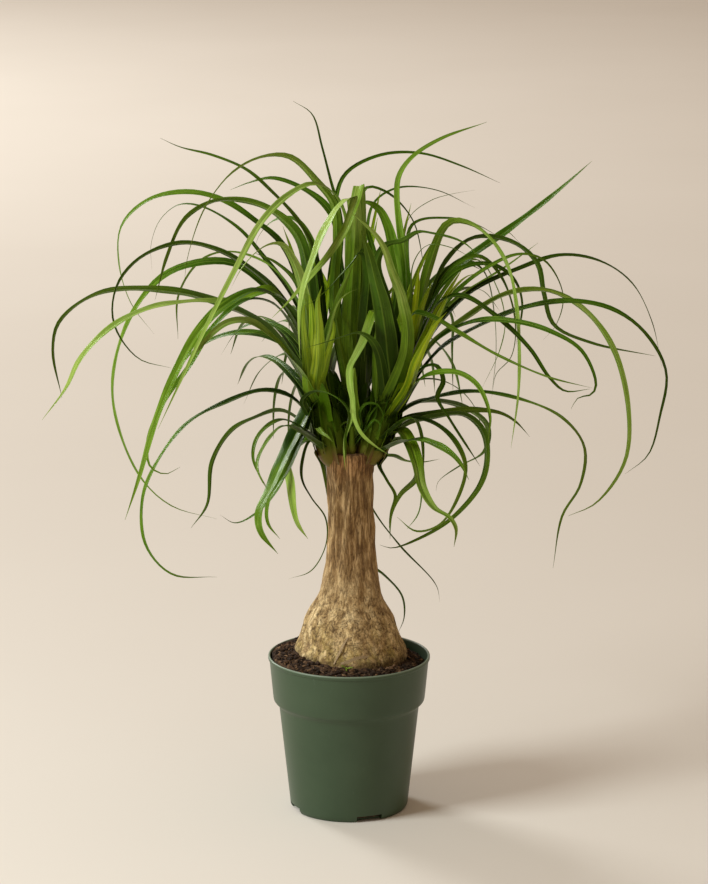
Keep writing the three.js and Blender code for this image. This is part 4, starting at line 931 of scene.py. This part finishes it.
def make_soil():
    """Potting soil: a lumpy surface strewn with crumbs and chips of bark."""
    turns = np.arange(SOIL_SIDES) * TAU / SOIL_SIDES
    rings = []
    for radius, height in SOIL_SIDE:
        level = np.full(SOIL_SIDES, height)
        rings.append(np.stack([radius * np.cos(turns), radius * np.sin(turns), level], -1))
    for share in np.linspace(1, 0, SOIL_RINGS):
        radius = lerp(HOLE_LIP - 1.5, SOIL_RIM - 0.3, share)
        x = radius * np.cos(turns) + TRUNK_AT[0] * (1 - share)
        y = radius * np.sin(turns) + TRUNK_AT[1] * (1 - share)
        flat = np.stack([x, y, np.zeros(SOIL_SIDES)], -1)
        rough = 1.1 * layered_noise(flat, 5.5, 3, 4) + 0.5 * np.abs(soft_noise(flat, 1.7, 9))
        edge = smoothstep(1 - share, 0, 0.12) if share > 0.5 else 1
        rings.append(np.stack([x, y, soil_height(x, y) + rough * edge], -1))
    for radius, height in HOLE:
        x = radius * np.cos(turns) + TRUNK_AT[0]
        y = radius * np.sin(turns) + TRUNK_AT[1]
        rings.append(np.stack([x, y, np.full(SOIL_SIDES, height)], -1))
    points, faces = closed_lathe(np.array(rings))
    tone = list(0.5 + 0.5 * soft_noise(np.array(points), 3.1, 21))
    ball, ball_faces = ball_points()
    draw = random.Random(7)
    for _ in range(CRUMBS):
        share = draw.random() ** 0.9
        turn = draw.uniform(0, TAU)
        size = draw.choice(CRUMB_SIZES) * draw.uniform(0.7, 1.1)
        radius = lerp(HOLE_LIP + 0.5, SOIL_RIM - 1.2 - size, share)
        x = radius * math.cos(turn) + TRUNK_AT[0] * (1 - share)
        y = radius * math.sin(turn) + TRUNK_AT[1] * (1 - share)
        z = float(soil_height(np.array(x), np.array(y)))
        stretch = np.array([draw.uniform(0.6, 1.5), draw.uniform(0.5, 1.1), draw.uniform(0.4, 0.9)])
        if draw.random() < CHIP_SHARE:
            stretch = np.array(CHIP_STRETCH)
        uneven = 1 + 0.55 * soft_noise(ball + draw.uniform(0, 90), 0.7, 3)[:, None]
        lump = ball * uneven * stretch * size
        lump = lump @ turn_matrix(draw.uniform(0, TAU), draw.uniform(-0.6, 0.6))
        start = len(points)
        points += (lump + np.array([x, y, z + 0.25 * size])).tolist()
        faces += [tuple(start + k for k in face) for face in ball_faces]
        tone += [draw.random() ** 1.6] * len(ball)
    values = {"tone": tone}
    soil = mesh_piece("soil_bed", points, faces, soil_paint(), smooth=False, values=values)
    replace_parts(soil, "soil")


def turn_matrix(about_z, tilt):
    """A turn about Z after a tilt about X."""
    cz, sz = math.cos(about_z), math.sin(about_z)
    ct, st = math.cos(tilt), math.sin(tilt)
    tilted = np.array([[1, 0, 0], [0, ct, -st], [0, st, ct]])
    return tilted @ np.array([[cz, -sz, 0], [sz, cz, 0], [0, 0, 1]])


# Trunk


def trunk_radius_at(height):
    """The trunk's plain radius at one height, without its bark."""
    rows = BURIED + RISING
    upper = next((i for i, row in enumerate(rows) if row[1] >= height), -1)
    if upper <= 0:
        return rows[0][0] if upper == 0 else rows[-1][0]
    low, high = rows[upper - 1], rows[upper]
    return lerp(low[0], high[0], (height - low[1]) / (high[1] - low[1]))


def hump(height, middle, spread):
    """A smooth swell round one height, 1 in its middle."""
    return np.exp(-(((height - middle) / spread) ** 2))


def make_trunk():
    """The swollen trunk with its fluted, net-fissured bark and the dished cut on top."""
    outline = smooth_profile([[27, 121.5], *BURIED[1:], *RISING, [23.2, 369]], 9)
    heights = np.arange(122, 369.5, BARK_STEP)
    radii = np.interp(heights, outline[:, 1], outline[:, 0])
    rows = [[18, TRUNK_FOOT + 0.2], *zip(radii, heights), *CUT_TOP]
    rings = lathe_rows(rows, BARK_SIDES)
    flat = rings.reshape(-1, 3)
    turn = np.arctan2(flat[:, 1], flat[:, 0])
    z = flat[:, 2]
    fade = smoothstep(z, SOIL_LINE, SOIL_LINE + 14) * (1 - smoothstep(z, 355, TRUNK_TOP))
    flutes = np.sin(7 * turn + 1.4 * np.sin(z / 34)) + 0.7 * np.sin(11 * turn - z / 27)
    broad = BARK_RELIEF * fade * (flutes + 0.5 * np.sin(z / 6.5 + 3 * np.sin(3 * turn)))
    bulb = 1 - smoothstep(z, *BULB_ENDS)
    warp = np.stack([layered_noise(flat, 14, 3, seed) for seed in (31, 41, 51)], -1)
    bent = flat + 1.6 * warp
    upright = wandering_lines(bent * np.array([1, 1, 0.42]), 6.5, 60, 0.13)
    level = wandering_lines(bent * np.array([0.8, 0.8, 1.5]), 8, 70, 0.12)
    grooves = wandering_lines(bent * np.array([1, 1, 0.09]), 4.2, 80, 0.16)
    crack = bulb * np.maximum(upright, 0.75 * level) + (1 - bulb) * 0.7 * grooves
    lumps = layered_noise(flat * np.array([1, 1, 0.5]), 13, 4, 90)
    ridges = hump(z, *RIDGES_AT) * layered_noise(bent * np.array([1, 1, 0.14]), 10, 2, 95)
    # Pale bark plates, laid into the bark's colour as a painted highlight.
    plate_highlight = 0.5 + 0.4 * layered_noise(bent * np.array([1, 1, 0.6]), 5.0, 2, 99)
    cover = smoothstep(z, SOIL_LINE - 6, SOIL_LINE + 2) * (1 - smoothstep(z, 371, 373))
    flatter = FLAT_SHOULDER * hump(z, *SHOULDER_AT) * np.cos(turn).clip(0) ** 1.5
    relief = LUMP_RELIEF * lumps + RIDGE_RELIEF * ridges - CRACK_DEPTH * crack
    depth = broad + cover * (relief + 0.35 - flatter)
    dish = smoothstep(z, 365, 366.5) * (np.hypot(flat[:, 0], flat[:, 1]) < 22.5)
    reach = np.hypot(flat[:, 0], flat[:, 1]).clip(1)
    grow = 1 + depth * (1 - dish) / reach
    made = flat.copy()
    made[:, 0] = flat[:, 0] * grow + TRUNK_AT[0]
    made[:, 1] = flat[:, 1] * grow + TRUNK_AT[1]
    made[:, 2] += dish * 0.9 * layered_noise(flat, 5, 3, 77)
    points, faces = closed_lathe(made.reshape(rings.shape))
    values = {
        # The dished cut is darkened through the crack value as painted shade.
        "crack": np.append(np.clip(crack + 0.9 * dish, 0, 1), [0, 1]),
        "plate_highlight": np.append(plate_highlight, [0, 0]),
    }
    trunk = mesh_piece("trunk_bark", points, faces, bark_paint(), values=values)
    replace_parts(trunk, "trunk")


# Leaves


def on_sight_line(spot, depth):
    """The place on a picture point's sight line at a given depth behind the pot's axis."""
    right = (spot[0] - PICTURE_WIDTH / 2) / FOCAL_PIXELS
    up = (PICTURE_HEIGHT / 2 - spot[1]) / FOCAL_PIXELS
    ray = np.array([
        right,
        math.cos(EYE_DIP) + up * math.sin(EYE_DIP),
        up * math.cos(EYE_DIP) - math.sin(EYE_DIP),
    ])
    return EYE + ray * ((depth - EYE[1]) / ray[1])


def shoot_place(head, z):
    """The middle of a shoot at one height, or at each of several."""
    foot, lean = head["foot"], head["lean"]
    rise = z - foot[2]
    return np.array([foot[0] + lean[0] * rise, foot[1] + lean[1] * rise, z])


def shoot_point(head, height):
    """A place on a shoot's own line, kept inside its length."""
    low = head["shoot"][0][1] + 8
    high = head["shoot"][-1][1] - 6
    z = min(max(height, low), high)
    return shoot_place(head, z)


def read_line(head, row, swing):
    """A leaf read from the picture, as points in space."""
    tip_depth, line = row[2], row[4]
    first = on_sight_line(line[0], head["foot"][1])
    root = shoot_point(head, first[2] - SPRING_SLOPE * abs(first[0] - head["foot"][0]))
    flat = [on_sight_line(spot, root[1]) for spot in line]
    runs = [np.linalg.norm(root - flat[0])]
    for before, spot in zip(flat, flat[1:]):
        runs.append(runs[-1] + np.linalg.norm(spot - before))
    points = [root]
    for spot, run in zip(line, runs):
        gone = smoothstep(run / runs[-1], 0, 1)
        points.append(on_sight_line(spot, root[1] + (tip_depth + swing - root[1]) * gone))
    return points


def arched_line(head, leaf, swing):
    """A leaf by rule: it rises from the shoot and arches over under its own weight."""
    points = [shoot_point(head, leaf["springs"])]
    for i in range(1, ARCH_SPANS + 1):
        gone = (i - 0.5) / ARCH_SPANS
        slope = leaf["rise"] - leaf["droop"] * gone**ARCH_POWER
        heading = leaf["heading"] + leaf["sway"] * gone + swing * TURN_PER_SWING
        step = leaf["long"] / ARCH_SPANS
        points.append(points[-1] + step * np.array([
            math.cos(slope) * math.cos(heading),
            math.cos(slope) * math.sin(heading),
            math.sin(slope),
        ]))
    return points


def smooth_curve(controls):
    """Points along the centripetal curve through the controls."""
    count = len(controls)
    steps = (count - 1) * STEPS_PER_SPAN
    made = []
    for k in range(steps + 1):
        place = (count - 1) * k / steps
        at = min(int(place), count - 2)
        t = place - at
        p1, p2 = controls[at], controls[at + 1]
        p0 = controls[at - 1] if at > 0 else 2 * controls[0] - controls[1]
        p3 = controls[at + 2] if at + 2 < count else 2 * controls[-1] - controls[-2]
        d0, d1, d2 = (max(np.dot(b - a, b - a), 0) ** 0.25 for a, b in ((p0, p1), (p1, p2), (p2, p3)))
        d1 = 1.0 if d1 < 1e-4 else d1
        d0 = d1 if d0 < 1e-4 else d0
        d2 = d1 if d2 < 1e-4 else d2
        m1 = ((p1 - p0) / d0 - (p2 - p0) / (d0 + d1) + (p2 - p1) / d1) * d1
        m2 = ((p2 - p1) / d1 - (p3 - p1) / (d1 + d2) + (p3 - p2) / d2) * d1
        bend = 3 * (p2 - p1) - 2 * m1 - m2
        made.append(p1 + m1 * t + bend * t**2 + (2 * (p1 - p2) + m1 + m2) * t**3)
    return np.array(made)


def unit(vector):
    return vector / np.linalg.norm(vector)


def fine_spine(controls, twist):
    """Even steps along a leaf's curve, with the blade's directions at each."""
    dense = smooth_curve(controls)
    runs = np.concatenate([[0], np.cumsum(np.linalg.norm(np.diff(dense, axis=0), axis=1))])
    long = runs[-1]
    even = long * np.arange(FINE_STEPS + 1) / FINE_STEPS
    spots = np.stack([np.interp(even, runs, dense[:, axis]) for axis in range(3)], -1)
    reach = spots[round(FINE_STEPS * REACH_AT)] - spots[0]
    reach[2] = 0
    if np.linalg.norm(reach) < 1:
        reach = np.array([1.0, 0, 0])
    reach = unit(reach)
    level = np.array([reach[1], -reach[0], 0])
    alongs, sides = [], []
    for i in range(FINE_STEPS + 1):
        along = unit(spots[min(i + 1, FINE_STEPS)] - spots[max(i - 1, 0)])
        level = unit(level - along * np.dot(level, along))
        turn = twist * reach[0] * lerp(START_TURN, 1, i / FINE_STEPS)
        sides.append(level * math.cos(turn) + np.cross(along, level) * math.sin(turn))
        alongs.append(along)
    alongs = np.array(alongs)
    sides = np.array(sides)
    belows = np.cross(alongs, sides)
    return {"spots": spots, "alongs": alongs, "sides": sides, "belows": belows, "long": long}


def half_at(wide, gone):
    """Half the blade's width so far along: a thin one tapers evenly, a broad one holds its width."""
    power = max(1, 1 + (wide - THIN_BLADE) * HOLD_PER_WIDTH)
    return wide / 2 * (TIP_SHARE + (1 - TIP_SHARE) * (1 - gone**power))


def coarse_rings(spine, wide):
    """The few rings that the part's own blade has: spot, side and half width at each."""
    cosines = np.sum(spine["alongs"][1:] * spine["alongs"][:-1], axis=1).clip(-1, 1)
    steps = spine["long"] / FINE_STEPS / LENGTH_PER_RING + np.arccos(cosines) / TURN_PER_RING
    spent = np.concatenate([[0], np.cumsum(steps)])
    count = max(3, math.ceil(spent[-1]))
    rings = []
    for i in range(count + 1):
        pick = int(np.argmax(spent >= spent[-1] * i / count - 1e-9))
        rings.append((spine["spots"][pick], spine["sides"][pick], half_at(wide, pick / FINE_STEPS)))
    return rings


def blade_cloud(rings):
    """Points spread over a blade, for telling whether it is clear of others."""
    cloud = []
    for ring, following in zip(rings, rings[1:]):
        steps = math.ceil(np.linalg.norm(following[0] - ring[0]) / CLOUD_STEP)
        for s in range(steps):
            spot, side, half = (lerp(a, b, s / steps) for a, b in zip(ring, following))
            across = math.ceil(half / CLOUD_STEP) + 1
            for k in range(across + 1):
                cloud.append(spot + side * half * (2 * k / across - 1))
    cloud.append(rings[-1][0])
    return np.array(cloud)


def touches(crowd, name, cloud):
    """Whether any point comes too near to a placed blade of another head."""
    for other, spots in crowd:
        if other != name:
            gaps = cloud[:, None] - spots[None]
            if (np.sum(gaps * gaps, axis=2) < CLEARANCE**2).any():
                return True
    return False


def clear_of_stems(name, cloud):
    """Whether every point lies outside the trunk and the other heads' shoots."""
    for x, y, z in cloud.tolist():
        away = math.hypot(x - TRUNK_AT[0], y - TRUNK_AT[1])
        if z < TRUNK_TOP and away < trunk_radius_at(z) + CLEARANCE:
            return False
        for other, head in HEADS.items():
            if other == name or z < head["shoot"][0][1] or z > head["shoot"][-1][1]:
                continue
            stem = shoot_point(head, z)
            radius = next(row[0] for row in head["shoot"] if row[1] >= z)
            if math.hypot(x - stem[0], y - stem[1]) <= radius + CLEARANCE / 2:
                return False
    return True


def settle(name, crowd, wide, twist, line_at):
    """The leaf's spine, swung aside until it clears the other heads, or None."""
    for swing in SWINGS:
        spine = fine_spine(line_at(swing), twist)
        cloud = blade_cloud(coarse_rings(spine, wide))
        away = np.linalg.norm(cloud - spine["spots"][0], axis=1)
        free = cloud[away > HEADS[name]["root_zone"]]
        if clear_of_stems(name, free) and not touches(crowd, name, free):
            crowd.append((name, cloud))
            return spine
    return None


def ruled_leaves(head):
    """The leaves that grow by rule, each kind turned by the golden angle within its spread."""
    draw = draws_from(head["seed"])
    top, low = head["shoot"][-1][1], head["shoot"][1][1]
    made = []
    for kind, count, facing, spread in head["grows"]:
        for i in range(count):
            age = (i + 0.5) / count
            around = (i * GOLDEN_TURN) % TAU / math.pi - 1
            made.append({
                "kind": kind,
                "heading": math.radians(facing + around * spread),
                "rise": math.radians(lerp(*kind["rise"], age) + 10 * (draw() - 0.5)),
                "droop": math.radians(lerp(*kind["droop"], draw())),
                "sway": math.radians(kind["sway"] * (2 * draw() - 1)),
                "long": lerp(*kind["long"], draw()),
                "wide": lerp(*kind["wide"], draw()),
                "springs": lerp(low, top, lerp(*kind["springs"], age)),
                "twist": math.radians(kind["twist"] * draw()),
            })
    return made


def place_leaves():
    """Every leaf's spine, width and kind for each head: first those read, then those by rule."""
    crowd = []
    placed = {name: [] for name in HEADS}
    for name, head in HEADS.items():
        for row in head["read"]:
            kind, wide, _, twist, _ = row
            line_at = partial(read_line, head, row)
            spine = settle(name, crowd, wide, math.radians(twist), line_at)
            if spine:
                placed[name].append((spine, wide, kind))
    for name, head in HEADS.items():
        for leaf in ruled_leaves(head):
            line_at = partial(arched_line, head, leaf)
            spine = settle(name, crowd, leaf["wide"], leaf["twist"], line_at)
            if spine:
                kind = "heart" if leaf["kind"] is HEART else "ruled"
                placed[name].append((spine, leaf["wide"], kind))
    return placed


# The dressed blade: places across it, its fold in degrees at the root and the tip, its thickness
ACROSS = np.array([-1, -0.9, -0.5, -0.07, 0, 0.07, 0.5, 0.9, 1])
LEAF_FOLD = (30, 12)
BASE_FOLD = (-14, 6)
ROOT_THICK = 0.5
TIP_THICK = 0.28
TIP_HALF = 0.12
ROOT_FLARE = 0.22
FLARE_LENGTH = 26
ROLL = math.radians(8)
RIPPLE = 0.09
BASES_PER_SHOOT = 26
SHOOT_SIDES = 40
LEAF_CREASE = 26


def blade_mesh(spine, wide, tone, young_glow, fold=LEAF_FOLD):
    """A strap blade folded along its midrib, as a closed mesh: points, faces and shading values."""
    gone = np.arange(FINE_STEPS + 1) / FINE_STEPS
    run = gone * spine["long"]
    fade = np.clip((1 - gone) / 0.10, 0, 1) ** 0.7
    half = half_at(wide, gone) * (1 + ROOT_FLARE * np.exp(-run / FLARE_LENGTH)) * fade
    half = np.maximum(half, TIP_HALF)
    roll = ROLL * np.sin(run / 37 + 9 * tone) * np.sin(math.pi * gone)
    side = spine["sides"] * np.cos(roll)[:, None] + spine["belows"] * np.sin(roll)[:, None]
    up = -np.cross(spine["alongs"], side)
    slope = np.tan(np.radians(lerp(fold[0], fold[1], gone)))
    lift = slope[:, None] * half[:, None] * (np.abs(ACROSS) - 0.35 * np.abs(ACROSS) ** 3)
    ripple = RIPPLE * half[:, None] * np.sin(run / 9 + 20 * tone)[:, None] * ACROSS**3
    thick = lerp(ROOT_THICK, TIP_THICK, gone) * np.minimum(1, half / 1.5)
    thick = thick[:, None] * (0.4 + 0.7 * (1 - np.abs(ACROSS)))
    centre = spine["spots"][:, None] + side[:, None] * (half[:, None] * ACROSS)[..., None]
    top = centre + up[:, None] * (lift + ripple)[..., None]
    under = centre + up[:, None] * (lift + ripple - thick)[..., None]
    rings = np.concatenate([top, under[:, ::-1]], axis=1)
    count = rings.shape[1]
    points, faces = closed_lathe(rings)
    beneath = np.concatenate([np.zeros(len(ACROSS)), np.ones(len(ACROSS))])
    values = {
        "gone": np.append(np.repeat(gone, count), [0, 1]),
        "across": np.append(np.tile(np.concatenate([ACROSS, ACROSS[::-1]]), FINE_STEPS + 1), [0, 0]),
        "beneath": np.append(np.tile(beneath, FINE_STEPS + 1), [0, 0]),
        "run": np.append(np.repeat(run / 100, count), [0, spine["long"] / 100]),
        "tone": np.full(len(points), tone),
        "young_glow": np.full(len(points), young_glow),
    }
    return points, faces, values


def join_blades(name, blades, material):
    """Many blade meshes as one piece."""
    points, faces, values = [], [], {}
    for some_points, some_faces, some_values in blades:
        start = len(points)
        points += some_points
        faces += [tuple(start + k for k in face) for face in some_faces]
        for key, numbers in some_values.items():
            values.setdefault(key, []).append(numbers)
    joined = {key: np.concatenate(lists) for key, lists in values.items()}
    piece = mesh_piece(name, points, faces, material, values=joined)
    smooth_by_angle(piece, LEAF_CREASE)
    return piece


def shoot_mesh(head):
    """The shoot under the leaf bases, as a closed mesh with shading values."""
    ends = [4, head["shoot"][0][1] - 1], [3, head["shoot"][-1][1] + 2.5]
    profile = smooth_profile([ends[0], *head["shoot"], ends[1]], 6)
    rings = lathe_rows(profile, SHOOT_SIDES)
    middle = shoot_place(head, rings[..., 2])
    rings[..., 0] += middle[0]
    rings[..., 1] += middle[1]
    points, faces = closed_lathe(rings)
    count = len(points)
    turn = np.append(np.tile(2 * np.arange(SHOOT_SIDES) / SHOOT_SIDES - 1, len(profile)), [0, 0])
    values = {
        "gone": np.zeros(count), "across": turn * 4, "beneath": np.zeros(count), "run": np.zeros(count),
        "tone": np.full(count, 0.4), "young_glow": np.zeros(count),
    }
    return points, faces, values


def sheath_blades(head, draw):
    """Short clasping leaf bases all round a shoot."""
    low, high = head["shoot"][1][1] - 4, head["shoot"][-1][1] - 12
    heights = [row[1] for row in head["shoot"]]
    radii = [row[0] for row in head["shoot"]]
    made = []
    for i in range(BASES_PER_SHOOT):
        turn = i * GOLDEN_TURN
        start = lerp(low, high, i / (BASES_PER_SHOOT - 1))
        long = draw.uniform(24, 44)
        points = []
        for step in range(7):
            z = start + long * step / 6
            radius = np.interp(z, heights, radii) + 0.4
            if z > high:
                radius = max(radius, np.interp(high, heights, radii) * 0.8) + 0.34 * (z - high)
            radius += 0.9 * step / 6
            points.append(shoot_place(head, z) + radius * np.array([math.cos(turn), math.sin(turn), 0]))
        spine = fine_spine(points, math.radians(draw.uniform(-12, 12)))
        made.append(blade_mesh(spine, draw.uniform(13, 18), draw.random(), 0.6, BASE_FOLD))
    return made


def leaf_tones(name, kind, draw):
    """How light a leaf is, partly its own green and partly painted light and shade, and how much of a
    young leaf's yellow-green, brightened as a painted glow, it has.
    """
    light = 0.10 + 0.45 * draw.random()
    # Bright hearts: a light green with the most painted glow.
    if kind.startswith("bright heart"):
        young_glow = draw.uniform(0.5, 0.75) if name == "left_head" else draw.uniform(0.8, 1.0)
        return 0.6 + 0.4 * light, young_glow
    if kind.startswith("heart"):
        return light, draw.uniform(0.3, 0.6)
    # Leaves that look bright or pale: a lighter green, partly painted highlight and sheen.
    if kind.startswith(("bright", "pale", "light", "short pale")):
        return 0.70 + 0.30 * light, 0.12
    # Leaves that look dark: a deep green, partly painted shade.
    if kind.startswith(("dark", "great dark", "curl")):
        return 0.12 * light, 0.0
    # The back head's leaves and the rear leaves by rule: darker as painted shade.
    if name == "back_head" or kind == "ruled":
        return 0.4 * light, 0.0
    return light, 0.0


def make_heads():
    """All the leaves of each head, as a piece of leaves and a piece of clasping bases."""
    placed = place_leaves()
    draw = random.Random(12)
    for name, blades in placed.items():
        head = HEADS[name]
        meshes = []
        for spine, wide, kind in blades:
            meshes.append(blade_mesh(spine, wide, *leaf_tones(name, kind, draw)))
        leaves = join_blades(name + "_leaves", meshes, LEAF)
        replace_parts(leaves, name)
        bases = [shoot_mesh(head)]
        if head["root_zone"] > 10:
            bases += sheath_blades(head, draw)
        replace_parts(join_blades(name + "_bases", bases, SHEATH), name)


# Litter


def make_litter():
    """The dry scraps and the seedling keep their solids and get their own finishes."""
    finishes = {"dry_leaf": dry_paint(), "dry_curl": dry_paint(), "sprout": sprout_paint()}
    for node, material in finishes.items():
        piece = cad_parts[node]
        piece.data.materials.clear()
        piece.data.materials.append(material)


# Studio


# In metres and watts
FLOOR_RADIUS = 30
FLOOR_LEVEL = -0.0004
ROOM_COLOR = (0.36, 0.275, 0.205)
LIGHTS = {
    "key": {
        "place": (-2.3, -1.2, 2.0),
        "aim": (0, 0, 0.35),
        "size": 1.2,
        "watts": 86,
        "color": (0.90, 0.97, 1.0),
    },
    "back": {
        "place": (-4.3, 5.2, 3.6),
        "aim": (-0.4, 4.6, 0),
        "size": 2.5,
        "watts": 330,
        "color": (0.95, 0.98, 1.0),
    },
}


def area_light(name, place, aim, size, watts, color):
    """A soft square light that faces a point, in metres."""
    light = bpy.data.lights.new(name, "AREA")
    light.shape = "SQUARE"
    light.size = size
    light.energy = watts
    light.color = color
    lamp = bpy.data.objects.new(name, light)
    bpy.context.scene.collection.objects.link(lamp)
    lamp.location = place
    lamp.rotation_euler = (Vector(aim) - Vector(place)).to_track_quat("-Z", "Y").to_euler()


def make_studio():
    """Pale floor, soft light from the left front, and the camera at the picture's view."""
    spot = (0, 0, FLOOR_LEVEL)
    bpy.ops.mesh.primitive_circle_add(vertices=96, radius=FLOOR_RADIUS, fill_type="NGON", location=spot)
    floor = bpy.context.object
    floor.name = "floor"
    floor.data.materials.append(floor_paint())

    world = bpy.data.worlds.new("studio")
    world.use_nodes = True
    world.node_tree.nodes["Background"].inputs["Color"].default_value = (*ROOM_COLOR, 1)
    bpy.context.scene.world = world
    for name, light in LIGHTS.items():
        area_light(name, **light)
    bpy.context.scene.view_settings.view_transform = "Standard"

    lens = bpy.data.cameras.new("camera")
    lens.sensor_fit = "VERTICAL"
    lens.sensor_height = SENSOR
    lens.lens = SENSOR * FOCAL_PIXELS / PICTURE_HEIGHT
    lens.clip_end = 60
    camera = bpy.data.objects.new("camera", lens)
    bpy.context.scene.collection.objects.link(camera)
    camera.location = (EYE * MM).tolist()
    camera.rotation_euler = (math.pi / 2 - EYE_DIP, 0, 0)
    bpy.context.scene.camera = camera


make_pot()
make_soil()
make_trunk()
make_heads()
make_litter()
make_studio()

bpy.context.view_layer.update()
